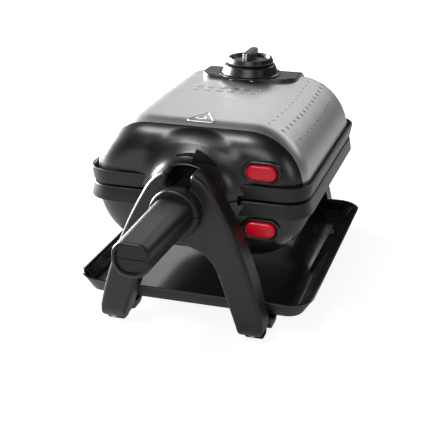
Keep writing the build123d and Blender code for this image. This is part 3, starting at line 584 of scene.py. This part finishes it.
def pill_outline(width: float, height: float, steps: int = 16) -> np.ndarray:
    """A pill's outline, counter-clockwise, as points in a plane."""
    radius, reach = height / 2, (width - height) / 2
    points = []
    for side in (1, -1):
        for step in range(steps + 1):
            angle = -pi / 2 + pi * step / steps + (0 if side > 0 else pi)
            points.append((side * reach + radius * cos(angle), radius * sin(angle)))
    return np.array(points)


@dataclass
class CasingSkins:
    """The black mouldings: the lid's front cap and the whole lower casing."""

    shop: Workshop
    columns: int = 144
    cap_rows: int = 64
    wall: float = 2.4
    edge_gap: float = 0.6  # half of the gap between the two necks
    dome_foot: float = 3.7  # where a dome's wall ends inside its rim frame
    neck_share: float = 35.0  # half width of the stretch where the rims leave room for the neck
    front_focus: float = -30.0
    rear_focus: float = 4.0  # how far before the rounded end its rows' rays start
    rear_hole: float = 20.0
    lip_roll: float = 1.1  # radius of the neck's rolled front edge
    lip_turns: tuple[float, ...] = (0, 0.25, 0.5, 0.75)
    shoulder_rows: int = 8
    side_rows: int = 12
    end_rows: int = 26
    side_angle: float = 0.02  # just over the parting plane, in radians
    pocket_inset: float = 0.5
    pocket_reach: float = 12.0

    def build(self) -> None:
        """Builds both mouldings."""
        self._moulding("cap_skin", Half.UPPER, "lid", "front_cap", self._cap_rows())
        rows = self._cap_rows()
        rows += self._body_rows(rows[-1])
        self._moulding("casing_skin", Half.LOWER, "lower_half", "lower_casing", rows)

    def _angles(self, foot: np.ndarray, radius: np.ndarray) -> np.ndarray:
        """Directions round the axis that start and end at a row's foot height."""
        start = np.arcsin(foot / radius)
        return start + (pi - 2 * start) * np.linspace(0, 1, self.columns + 1)

    def _row(self, make: Callable[[np.ndarray], np.ndarray]) -> np.ndarray:
        """One row of the skin whose two ends stand level with its foot."""
        side = make(np.array([self.side_angle]))[0]
        foot = self.edge_gap if abs(side[0]) < self.neck_share else self.dome_foot
        points = make(self._angles(foot, np.hypot(side[0], side[2])))
        points[0, 2] = points[-1, 2] = foot
        return points

    def _cap_rows(self) -> list[np.ndarray]:
        """Rows from the neck's lip to the front edge of the steel cover."""
        roll = self.lip_roll
        root = FORM.lip + roll
        lip_lean = atan2(float(FORM.neck_radius(np.array(root))), self.front_focus - root)
        rows = [
            self._row(lambda angles, t=t: self._lip_ring(t, angles)) for t in self.lip_turns
        ]
        for i in range(self.cap_rows):
            share = i / self.cap_rows

            def make(angles: np.ndarray) -> np.ndarray:
                edge = FORM.ring(FORM.cap_end, angles)
                edge_lean = np.arctan2(
                    np.hypot(edge[:, 0], edge[:, 2]), self.front_focus - FORM.cap_end
                )
                lean = lip_lean + (edge_lean - lip_lean) * share
                return FORM.fan(self.front_focus, -1, angles, lean)

            rows.append(self._row(make))
        rows.append(self._row(lambda angles: FORM.ring(FORM.cap_end, angles)))
        return rows

    def _lip_ring(self, turn: float, angles: np.ndarray) -> np.ndarray:
        """A ring of the neck's rolled lip, from its front (turn 0) to its side (turn 1)."""
        drop = self.lip_roll * (1 - sin(turn * pi / 2))
        radius = FORM.neck - drop
        y = FORM.lip + self.lip_roll * (1 - cos(turn * pi / 2))
        return np.stack(
            [radius * np.cos(angles), np.full_like(angles, y), radius * np.sin(angles)], -1
        )

    def _body_rows(self, edge: np.ndarray) -> list[np.ndarray]:
        """Rows from the cap's edge to the opening for the rear trunnion."""
        straight_end = FORM.back - FORM.end
        rows = [
            self._row(lambda angles, y=y: FORM.ring(y, angles))
            for y in np.concatenate([
                np.linspace(FORM.cap_end, FORM.front + FORM.end, self.shoulder_rows)[1:],
                np.linspace(FORM.front + FORM.end, straight_end, self.side_rows)[1:],
            ])
        ]
        focus = straight_end - self.rear_focus
        for share in np.linspace(0, 1, self.end_rows)[1:]:

            def make(angles: np.ndarray) -> np.ndarray:
                start = FORM.ring(straight_end, angles)
                lean = np.arctan2(np.hypot(start[:, 0], start[:, 2]), straight_end - focus)
                last = atan2(self.rear_hole, FORM.back - focus)
                return FORM.fan(focus, 1, angles, lean + (last - lean) * share)

            rows.append(self._row(make))
        return rows

    def _moulding(
        self, name: str, half: Half, body: str, node: str, rows: list[np.ndarray]
    ) -> None:
        """Makes one moulding from its rows, with its thickness and its button's pocket."""
        points = np.vstack(rows)
        points[:, 2] = AXIS_HEIGHT + half.value * points[:, 2]
        faces = strip_faces(len(rows), self.columns + 1, False, flip=half is Half.UPPER)
        piece = self.shop.piece(
            name, points, faces, body, "casing_plastic", ["Satin Black Casing"], replaces=[node]
        )
        self.shop.apply(piece, "SOLIDIFY", thickness=self.wall * MM, offset=-1)
        self.shop.weld(piece)
        self.shop.cut(piece, self._pocket_cutter(half))
        self.shop.shade(piece, 35)

    def _pocket_cutter(self, half: Half) -> bpy.types.Object:
        """A pill-shaped block where a bezel sits in its moulding."""
        low, high = box_mm(f"{half.name.lower()}_bezel")
        centre, size = (low + high) / 2, high - low
        trim = 2 * self.pocket_inset
        outline = pill_outline(size.x - trim, size.z - trim)
        reach = self.pocket_reach
        rings = [upright(outline, centre, y) for y in (centre.y + reach, centre.y - reach)]
        return self.shop.cutter(*ring_loft(rings))


@dataclass
class RimFrames:
    """The two rim frames that meet at the parting plane, with eased edges."""

    shop: Workshop
    corner: float = 21.5
    arc_steps: int = 14
    lean: float = 1.6  # how far the wall leans out over its height
    flange: float = 8.6  # how far inward the seat reaches
    seat: float = 2.5  # thickness of the seat
    notch_half: float = 34.5
    notch_depth: float = 9.5
    notch_corner: float = 1.5
    notch_reach: float = 30.0
    neck_gap: float = 0.3
    neck_over: float = 2.0  # how far the neck's room runs on past both ends

    def build(self) -> None:
        """Builds both frames."""
        for half, body in ((Half.UPPER, "lid"), (Half.LOWER, "lower_half")):
            self._frame(half, body)

    def _frame(self, half: Half, body: str) -> None:
        """Makes one frame from its section, then cuts the room for the neck."""
        node = f"{half.name.lower()}_rim"
        low, high = box_mm(node)
        size, middle = high - low, (low + high) / 2
        foot, top = sorted(abs(z - AXIS_HEIGHT) for z in (low.z, high.z))
        # (inset from the widest outline, height over the parting plane)
        section = (
            (self.lean + 1.0, foot), (self.lean + 0.4, foot + 0.15), (self.lean + 0.1, foot + 0.5),
            (self.lean, foot + 1.1), (0.1, top - 1.0), (0.15, top - 0.4), (0.5, top - 0.1),
            (0.9, top), (1.5, top), (1.9, top - 0.25), (2.2, top - 0.8),
            (3.4, foot + self.seat + 0.1), (self.flange, foot + self.seat), (self.flange, foot),
        )
        rings = []
        for inset, height in section:
            ring = rounded_ring(
                size.x / 2 - inset, size.y / 2 - inset, self.corner - inset, self.arc_steps
            )
            ring += np.array([middle.x, middle.y])
            rings.append(level(ring, AXIS_HEIGHT + half.value * height))
        points, faces = ring_loft([*rings, rings[0]], False, False)
        piece = self.shop.piece(
            f"{node}_frame", points, faces, body, "rim_plastic", ["Rim Grey"], replaces=[node]
        )
        self.shop.weld(piece)
        self.shop.cut(piece, self._notch(low.y))
        self.shop.cut(piece, self._neck_room())
        self.shop.shade(piece, 38)

    def _notch(self, front: float) -> bpy.types.Object:
        """A block where the frames open in front of the neck."""
        outline = rounded_ring(self.notch_half, self.notch_depth, self.notch_corner, 4)
        outline += np.array([0.0, front])
        reach = self.notch_reach
        rings = [level(outline, AXIS_HEIGHT + z) for z in (-reach, reach)]
        return self.shop.cutter(*ring_loft(rings))

    def _neck_room(self) -> bpy.types.Object:
        """A trumpet a little larger than the neck."""
        angles = np.linspace(0, tau, 96, endpoint=False)
        rings = []
        for y in np.linspace(FORM.lip - self.neck_over, FORM.cap_end + self.neck_over, 30):
            radius = float(FORM.neck_radius(np.array(y))) + self.neck_gap
            rings.append(np.column_stack([
                radius * np.cos(angles), np.full_like(angles, y),
                AXIS_HEIGHT - radius * np.sin(angles),
            ]))
        return self.shop.cutter(*ring_loft(rings))


@dataclass
class LidMarks:
    """Marks on the lid: the turning arrow on the neck and the pressed marks in the steel."""

    shop: Workshop
    arrow_radius: float = 32.4
    tail_start: float = 109.0  # degrees round the axis from +X
    head_start: float = 84.0
    tip: float = 50.0
    tail_width: float = 2.2
    head_width: float = 7.8
    bead_width: float = 1.7
    bead_rise: float = 0.5
    tail_taper: float = 0.25  # the tail's width at its start, as a share of its end
    arrow_lift: float = 0.12
    arrow_sheet: float = 0.6
    sunk: float = 0.15  # how far a mark's foot lies in the steel
    triangle_half: float = 10.5
    triangle_foot: float = 5.5  # distances from the steel's front edge
    triangle_tip: float = 27.0
    triangle_middle: float = 12.5
    triangle_ease: float = 2.6
    inner_share: float = 0.36
    inner_ease: float = 1.2
    square_size: float = 6.6
    square_pitch: float = 9.6
    square_corner: float = 1.7
    square_rows: int = 2
    square_columns: int = 6
    squares_middle: tuple[float, float] = (-7.0, 54.0)

    def build(self) -> None:
        """Builds the arrow, the triangle and the block of squares."""
        self._arrow()
        self._triangle()
        self._squares()

    def _arrow(self) -> None:
        """A curved gloss arrow let into the neck, pointing the way the body turns."""
        angles = np.linspace(self.tail_start, self.tip, 61)
        across = np.linspace(-1, 1, 9)
        grid = []
        for angle in angles:
            if angle > self.head_start:
                share = (self.tail_start - angle) / (self.tail_start - self.head_start)
                taper = self.tail_taper + (1 - self.tail_taper) * share
                half_width = self.tail_width / 2 * taper
            else:
                share = (angle - self.tip) / (self.head_start - self.tip)
                half_width = self.head_width / 2 * max(share, 0.01)
            radius = self.arrow_radius + across * half_width
            grid.append((radius * cos(radians(angle)), radius * sin(radians(angle))))
        x, z = np.array(grid)[:, 0], np.array(grid)[:, 1]
        y = FORM.front_y(x, z) - self.arrow_lift
        points = np.stack([x, y, z + AXIS_HEIGHT], -1).reshape(-1, 3)
        faces = strip_faces(len(angles), len(across), False)
        piece = self.shop.piece(
            "turn_arrow", points, faces, "lid", "casing_plastic", ["Arrow Black"]
        )
        self.shop.apply(piece, "SOLIDIFY", thickness=self.arrow_sheet * MM, offset=-1)
        self.shop.shade(piece, 35)

    def _bead(self, name: str, paths: Sequence[np.ndarray]) -> None:
        """Raises rounded beads along closed paths on the steel.

        Args:
            name: the piece's name.
            paths: closed paths in X and Y.
        """
        profile = np.linspace(0, pi, 9)
        points, faces = [], []
        for path in paths:
            ahead = np.roll(path, -1, 0) - np.roll(path, 1, 0)
            ahead /= np.linalg.norm(ahead, axis=1)[:, None]
            side = np.column_stack([-ahead[:, 1], ahead[:, 0]])
            base = sum(len(part) for part in points)
            spots = path[:, None, :] + side[:, None, :] * (
                np.cos(profile)[None, :, None] * self.bead_width / 2
            )
            lift = np.sin(profile)[None, :] * self.bead_rise - self.sunk
            z = FORM.top_z(spots[..., 0], spots[..., 1]) + lift + AXIS_HEIGHT
            points.append(np.concatenate([spots, z[..., None]], -1).reshape(-1, 3))
            rows = len(path)
            for i in range(rows):
                for j in range(len(profile)):
                    k, m = (i + 1) % rows, (j + 1) % len(profile)
                    faces.append(tuple(
                        base + a * len(profile) + b for a, b in ((i, j), (k, j), (k, m), (i, m))
                    ))
        self.shop.piece(
            name, np.vstack(points), faces, "lid", "brushed_steel_cover", ["Satin Steel"]
        )

    def _triangle(self) -> None:
        """A pressed triangle near the steel's front edge, with a smaller one in it."""
        foot, tip = (FORM.cap_end + reach for reach in (self.triangle_foot, self.triangle_tip))
        middle, share = FORM.cap_end + self.triangle_middle, self.inner_share
        corners = [(-self.triangle_half, foot), (self.triangle_half, foot), (0.0, tip)]
        inner = [(x * share, middle + (y - middle) * share) for x, y in corners]
        paths = [rounded_path(corners, self.triangle_ease), rounded_path(inner, self.inner_ease)]
        self._bead("pressed_triangle", paths)

    def _squares(self) -> None:
        """A block of pressed waffle squares across the steel."""
        rows, columns, pitch = self.square_rows, self.square_columns, self.square_pitch
        middle_x, middle_y = self.squares_middle
        steps = ((0.0, -self.sunk), (0.3, 0.1), (0.8, 0.26), (1.3, 0.33), (1.9, 0.35))
        points, faces = [], []
        for i in range(rows * columns):
            spot = np.array([
                middle_x + (i % columns - (columns - 1) / 2) * pitch,
                middle_y + (i // columns - (rows - 1) / 2) * pitch,
            ])
            rings = []
            for inset, lift in steps:
                half = self.square_size / 2 - inset
                ring = rounded_ring(half, half, max(self.square_corner - inset, 0.6), 5) + spot
                top = FORM.top_z(ring[:, 0], ring[:, 1]) + AXIS_HEIGHT + lift
                rings.append(np.column_stack([ring, top]))
            pad, pad_faces = ring_loft(rings)
            base = sum(len(part) for part in points)
            faces += [tuple(base + k for k in face) for face in pad_faces]
            points.append(pad)
        self.shop.piece(
            "pressed_squares", np.vstack(points), faces, "lid", "brushed_steel_cover",
            ["Satin Steel"],
        )


EASE_STEPS = 7
PATH_POINTS = 96


def rounded_path(corners: Sequence[tuple[float, float]], radius: float) -> np.ndarray:
    """A closed path round a polygon's corners with each corner eased.

    Args:
        corners: the polygon's corners in order.
        radius: how far each corner's easing reaches along its sides.

    Returns:
        Evenly spaced points.
    """
    points = []
    count = len(corners)
    for i in range(count):
        here = np.array(corners[i])
        before, after = (np.array(corners[(i + k) % count]) for k in (-1, 1))
        start = here + (before - here) / np.linalg.norm(before - here) * radius
        end = here + (after - here) / np.linalg.norm(after - here) * radius
        for t in np.linspace(0, 1, EASE_STEPS):
            points.append((1 - t) ** 2 * start + 2 * t * (1 - t) * here + t * t * end)
    return resample(np.array(points), PATH_POINTS)


def resample(path: np.ndarray, count: int) -> np.ndarray:
    """A closed path as evenly spaced points."""
    loop = np.vstack([path, path[:1]])
    lengths = np.concatenate([[0], np.cumsum(np.linalg.norm(np.diff(loop, axis=0), axis=1))])
    wanted = np.linspace(0, lengths[-1], count, endpoint=False)
    return np.column_stack([np.interp(wanted, lengths, loop[:, k]) for k in (0, 1)])


@dataclass
class DripTray:
    """The loose tray: a flared wall with a rolled lip, a sloped edge and a flat panel."""

    shop: Workshop
    corner: float = 20.0
    least_corner: float = 6.0
    arc_steps: int = 12
    # (inset from the lip, height over the tray's underside), in millimetres
    outside: tuple = ((60, 0), (18, 0), (16.4, 0.15), (14, 0.9), (10.0, 2.3), (8.8, 2.9),
                      (7.8, 4.0), (4.8, 8.6), (2.2, 12.6), (1.4, 14.2), (0.4, 14.7), (0.0, 15.3))
    inside: tuple = ((0.1, 15.9), (0.7, 16.2), (1.5, 16.1), (2.3, 15.4), (3.4, 13.6),
                     (6.4, 8.9), (8.8, 5.4), (10.2, 4.4), (14.4, 2.6), (16.6, 1.9), (19.5, 1.7))
    panel: tuple = ((20.3, 1.55), (20.8, 1.6), (24, 1.62), (60, 1.62))

    def build(self) -> None:
        """Builds the tray from level rings."""
        low, high = box_mm("drip_tray")
        middle, half = (low + high) / 2, (high - low) / 2
        rings = []
        for inset, height in (*self.outside, *self.inside, *self.panel):
            corner = max(self.corner - inset, self.least_corner)
            ring = rounded_ring(half.x - inset, half.y - inset, corner, self.arc_steps)
            rings.append(level(ring + np.array([middle.x, middle.y]), low.z + height))
        points, faces = ring_loft(rings)
        per_ring = len(rings[0])
        outer, wall_end = len(self.outside), len(self.outside) + len(self.inside)

        finishes = ["Tray Outside", "Gloss Black", "Tray Panel"]
        underside = len(faces) - 2

        def finish_of(face: int) -> int:
            """The number of a face's finish: outside, wall or panel."""
            row = face // per_ring
            if face == underside or row < outer - 1:
                return 0
            return 1 if row < wall_end else 2

        self.shop.piece(
            "tray_skin", points, faces, "tray", "tray_gloss", finishes, finish_of,
            ["drip_tray"], smooth_angle=30,
        )


def eased_bar(profile: np.ndarray, half_width: float, ease: float) -> tuple:
    """A bar along X with eased ends.

    Args:
        profile: its closed outline in Y and Z.
        half_width: half of its length in X.
        ease: how far its ends are rounded over.

    Returns:
        The points and the faces.
    """
    ahead = np.roll(profile, -1, 0) - np.roll(profile, 1, 0)
    ahead /= np.linalg.norm(ahead, axis=1)[:, None]
    inward = np.column_stack([-ahead[:, 1], ahead[:, 0]])
    turns = [radians(angle) for angle in (0, 30, 60, 90)]
    steps = [(half_width - ease * (1 - sin(t)), ease * (1 - cos(t))) for t in turns]
    places = [(-x, inset) for x, inset in steps[::-1]] + steps
    rings = []
    for x, inset in places:
        outline = profile + inward * inset
        rings.append(np.column_stack([np.full(len(outline), x), outline]))
    return ring_loft(rings)


@dataclass
class Feet:
    """A rubber sole that curls up behind each foot, and the toe that carries the tray."""

    shop: Workshop
    sole_half: float = 7.0
    toe_half: float = 10.0
    sheet: float = 2.1  # thickness of the rubber
    sole_ease: float = 0.8
    toe_ease: float = 1.9
    end_ease: float = 1.4
    sole_length: float = 11.3
    toe_length: float = 21.0
    toe_lip: float = 5.0
    toe_lip_rise: float = 2.8

    def build(self) -> None:
        """Builds the soles and the toes at the four feet."""
        pads, rests = box_mm("foot_pads"), box_mm("tray_rests")
        self._set("foot_soles", self._sole(pads), pads, self.sole_half, "foot_rubber",
                  "Foot Rubber", "foot_pads")
        self._set("tray_toes", self._toe(rests), rests, self.toe_half, "stand_plastic",
                  "Stand Black", "tray_rests")

    def _sole(self, box: Sequence[Vector]) -> np.ndarray:
        """The sole's outline in Y and Z."""
        front, top = box[0].y, box[1].z
        back = front + self.sole_length
        corners = [
            (front, 0.9), (front + 2.2, 0.0), (back - 2.6, 0.0), (back, 2.6), (back, top),
            (back - self.sheet, top), (back - self.sheet, 2.5), (front + 0.6, 2.5),
        ]
        return rounded_path(corners, self.sole_ease)

    def _toe(self, box: Sequence[Vector]) -> np.ndarray:
        """The toe's outline in Y and Z."""
        front, foot, top = box[0].y, box[0].z, box[1].z
        floor_top = top - self.toe_lip_rise
        lip, back = front + self.toe_lip, front + self.toe_length
        corners = [
            (front, foot + 3.0), (front + 3.0, foot), (back - 4.8, foot), (back, foot + 4.0),
            (back, floor_top), (lip, floor_top), (lip, top), (front, top),
        ]
        return rounded_path(corners, self.toe_ease)

    def _set(
        self, name: str, profile: np.ndarray, box: Sequence[Vector], half_width: float,
        slot: str, finish: str, node: str,
    ) -> None:
        """Places one bar at each foot, mirrored left to right and front to back."""
        bar, bar_faces = eased_bar(profile, half_width, self.end_ease)
        centre_x = box[1].x - half_width
        centre_y = (box[0].y + box[1].y) / 2
        points, faces = [], []
        for side in (-1, 1):
            for end in (-1, 1):
                placed = bar + np.array([side * centre_x, 0.0, 0.0])
                if end > 0:
                    placed[:, 1] = 2 * centre_y - placed[:, 1]
                base = len(bar) * len(points)
                turned = [face if end < 0 else face[::-1] for face in bar_faces]
                faces += [tuple(base + k for k in face) for face in turned]
                points.append(placed)
        piece = self.shop.piece(
            name, np.vstack(points), faces, "base", slot, [finish], replaces=[node]
        )
        self.shop.weld(piece)
        self.shop.shade(piece, 40)


@dataclass
class Releases:
    """The two release buttons and their bezels."""

    shop: Workshop

    def build(self) -> None:
        """Builds a bezel and a button on each half."""
        for half, body, button in (
            (Half.UPPER, "lid", "upper_release"), (Half.LOWER, "lower_half", "lower_release")
        ):
            side = half.name.lower()
            self._bezel(f"{side}_bezel", body)
            self._button(f"{side}_button", button)

    @staticmethod
    def _rings(node: str, profile: Sequence[tuple[float, float]]) -> list[np.ndarray]:
        """Pill-shaped rings in a CAD node's place.

        Args:
            node: the node whose place and outline they take.
            profile: each ring's inset and its distance behind the node's front.

        Returns:
            The rings from the first profile point to the last.
        """
        low, high = box_mm(node)
        centre, size = (low + high) / 2, high - low
        rings = []
        for inset, depth in profile:
            outline = pill_outline(size.x - 2 * inset, size.z - 2 * inset, 20)
            rings.append(upright(outline, centre, low.y + depth))
        return rings

    def _bezel(self, node: str, body: str) -> None:
        """A rounded ring with a step down to the button."""
        profile = (
            (2.95, 4.4), (2.95, 1.4), (2.75, 0.9), (2.3, 0.85), (1.9, 0.7), (1.6, 0.25),
            (1.1, 0.0), (0.6, 0.15), (0.2, 0.6), (0.0, 1.3), (0.0, 4.4),
        )
        rings = self._rings(node, profile)
        points, faces = ring_loft([*rings, rings[0]], False, False)
        self.shop.piece(
            f"{node}_ring", points, faces, body, "bezel_plastic", ["Satin Black Casing"],
            replaces=[node], smooth_angle=50,
        )

    def _button(self, node: str, body: str) -> None:
        """A softly crowned pill with its stem's root behind it."""
        profile = (
            (0.0, 5.4), (0.0, 1.5), (0.15, 0.95), (0.55, 0.45), (1.2, 0.15), (2.2, 0.02),
            (5.0, 0.0),
        )
        points, faces = ring_loft(self._rings(node, profile))
        self.shop.piece(
            f"{node}_pill", points, faces, body, "button_red", ["Red Button"],
            replaces=[node], smooth_angle=50,
        )


class CarriedNodes:
    """The CAD nodes that show as they are, and the finish of each."""

    FINISHES = {
        "Stand Black": (
            "front_stand", "front_stand_cover", "rear_stand", "rear_stand_cover", "tray_rests",
            "rear_hub_cap",
        ),
        "Satin Black Casing": (
            "front_cap", "rear_cap", "lower_casing", "upper_bezel", "lower_bezel",
            "hinge_bracket", "hinge_knuckles", "thermostat_knob", "knob_skirt",
        ),
        "Rim Grey": ("upper_rim", "lower_rim"),
        "Handle Black": ("upper_handle", "lower_handle"),
        "Dark Web": ("handle_web", "front_journal", "rear_trunnion"),
        "Satin Steel": ("steel_cover",),
        "Bearing Plastic": ("front_bush", "rear_bush"),
        "Drawn Steel": (
            "base_rails", "hinge_pins", "upper_latch_pin", "lower_latch_pin", "knob_shaft",
        ),
        "Foot Rubber": ("foot_pads", "cord_gland"),
        "Gloss Black": ("drip_tray",),
        "Red Button": ("upper_button", "lower_button"),
        "Heat-proof Plastic": ("upper_latch", "lower_latch", "terminal_block", "thermostat"),
        "Non-stick Coating": ("upper_plate", "lower_plate"),
        "Heater Sheath": ("upper_heater", "lower_heater"),
        "Bright Sheet": (
            "upper_reflector", "lower_reflector", "upper_clips", "lower_clips", "thermal_fuse",
        ),
        "Zinc": (
            "stand_screws", "casing_screws", "lid_screws", "upper_latch_spring",
            "lower_latch_spring",
        ),
        "Pale Mark": ("dial_marks", "knob_pointer"),
    }

    def __init__(self, shop: Workshop) -> None:
        self.shop = shop

    def build(self) -> None:
        """Dresses every CAD node."""
        for finish, nodes in self.FINISHES.items():
            self.shop.dress(finish, *nodes)


@dataclass(frozen=True)
class Softbox:
    """A rectangular studio light: its place, what it faces, size in metres and power."""

    name: str
    place: tuple[float, float, float]
    target: tuple[float, float, float]
    width: float
    height: float
    power: float

    def build(self) -> None:
        """Adds the light to the scene."""
        data = bpy.data.lights.new(self.name, "AREA")
        data.shape = "RECTANGLE"
        data.size, data.size_y, data.energy = self.width, self.height, self.power
        lamp = bpy.data.objects.new(self.name, data)
        lamp.location = self.place
        way = Vector(self.target) - Vector(self.place)
        lamp.rotation_euler = way.to_track_quat("-Z", "Y").to_euler()
        bpy.context.scene.collection.objects.link(lamp)


@dataclass(frozen=True)
class Studio:
    """A pale seamless floor, soft lights and the camera."""

    camera_place: tuple[float, float, float] = (0.2209, -0.7227, 0.3602)
    yaw: float = 16.98
    pitch: float = 21.53
    roll: float = 0.21
    lens: float = 85.3
    sensor: float = 36.0
    floor_half: float = 6.0
    floor_tone: float = 0.30
    floor_roughness: float = 0.9
    surround: float = 0.03
    floor_lift: float = 0.90
    floor_in_gloss: float = 0.30
    lights: tuple[Softbox, ...] = (
        Softbox("overhead", (-0.36, -0.52, 1.20), (0.0, 0.0, 0.1), 0.62, 0.20, 6.5),
        Softbox("steel_sweep", (0.34, 1.32, 0.86), (0.0, 0.05, 0.15), 2.2, 0.40, 5.0),
        Softbox("left_box", (-1.08, 0.48, 0.30), (0.0, 0.0, 0.12), 0.85, 0.42, 85.0),
        Softbox("right_box", (1.15, -0.62, 0.46), (0.0, -0.05, 0.1), 0.3, 0.4, 1.2),
        Softbox("front_fill", (0.1, -1.4, 0.8), (0.0, 0.0, 0.1), 0.9, 0.6, 4.5),
    )

    def build(self) -> None:
        """Builds the floor, the surroundings, the lights and the camera."""
        self._floor()
        self._surroundings()
        for light in self.lights:
            light.build()
        self._camera()
        bpy.context.scene.view_settings.view_transform = "Standard"

    def _camera(self) -> None:
        """Places the camera by its heading, its downward tilt and its roll."""
        yaw, pitch, roll = radians(self.yaw), radians(self.pitch), radians(self.roll)
        ahead = Vector((-sin(yaw) * cos(pitch), cos(yaw) * cos(pitch), -sin(pitch)))
        level_right = Vector((cos(yaw), sin(yaw), 0.0))
        level_up = level_right.cross(ahead)
        right = level_right * cos(roll) + level_up * sin(roll)
        up = level_up * cos(roll) - level_right * sin(roll)
        data = bpy.data.cameras.new("camera")
        data.lens, data.sensor_width = self.lens, self.sensor
        data.clip_start = 0.02
        camera = bpy.data.objects.new("camera", data)
        turn = Matrix((right, up, -ahead)).transposed().to_4x4()
        camera.matrix_world = Matrix.Translation(self.camera_place) @ turn
        bpy.context.scene.collection.objects.link(camera)
        bpy.context.scene.camera = camera

    def _surroundings(self) -> None:
        """A dim room that is seen as a white sweep."""
        world = bpy.data.worlds.new("sweep")
        bpy.context.scene.world = world
        world.use_nodes = True
        tree = world.node_tree
        glow = tree.nodes["Background"]
        glow.inputs["Color"].default_value = (1, 1, 1, 1)
        path = tree.nodes.new("ShaderNodeLightPath")
        lift = math_node(
            tree, "MULTIPLY_ADD", path.outputs["Is Camera Ray"], 1.0 - self.surround, self.surround
        )
        tree.links.new(lift.outputs[0], glow.inputs["Strength"])

    def _floor(self) -> None:
        """A pale floor that carries only soft contact shadows."""
        mesh = bpy.data.meshes.new("floor")
        h = self.floor_half
        mesh.from_pydata([(-h, -h, 0), (h, -h, 0), (h, h, 0), (-h, h, 0)], [], [(0, 1, 2, 3)])
        floor = bpy.data.objects.new("floor", mesh)
        bpy.context.scene.collection.objects.link(floor)
        pale = bpy.data.materials.new("Pale Sweep")
        pale.use_nodes = True
        tree = pale.node_tree
        shader = tree.nodes["Principled BSDF"]
        shader.inputs["Base Color"].default_value = (*[self.floor_tone] * 3, 1)
        shader.inputs["Roughness"].default_value = self.floor_roughness
        shader.inputs["Specular IOR Level"].default_value = 0.0
        shader.inputs["Emission Color"].default_value = (1, 1, 1, 1)
        path = tree.nodes.new("ShaderNodeLightPath")
        mirrored = math_node(tree, "MULTIPLY", path.outputs["Is Glossy Ray"], self.floor_in_gloss)
        lift = math_node(
            tree, "MULTIPLY_ADD", path.outputs["Is Camera Ray"], self.floor_lift, mirrored.outputs[0]
        )
        tree.links.new(lift.outputs[0], shader.inputs["Emission Strength"])
        mesh.materials.append(pale)


def main() -> None:
    """Builds the waffle maker's pieces in order and sets up the studio."""
    logging.basicConfig(level=logging.INFO, format="%(name)s: %(message)s")
    shop = Workshop(Palette())
    CarriedNodes(shop).build()
    assemblies = (
        CasingSkins(shop), RimFrames(shop), LidMarks(shop), DripTray(shop), Feet(shop),
        Releases(shop),
    )
    for assembly in assemblies:
        assembly.build()
        log.info("%s built", type(assembly).__name__)
    Studio().build()


if __name__ == "__main__":
    main()
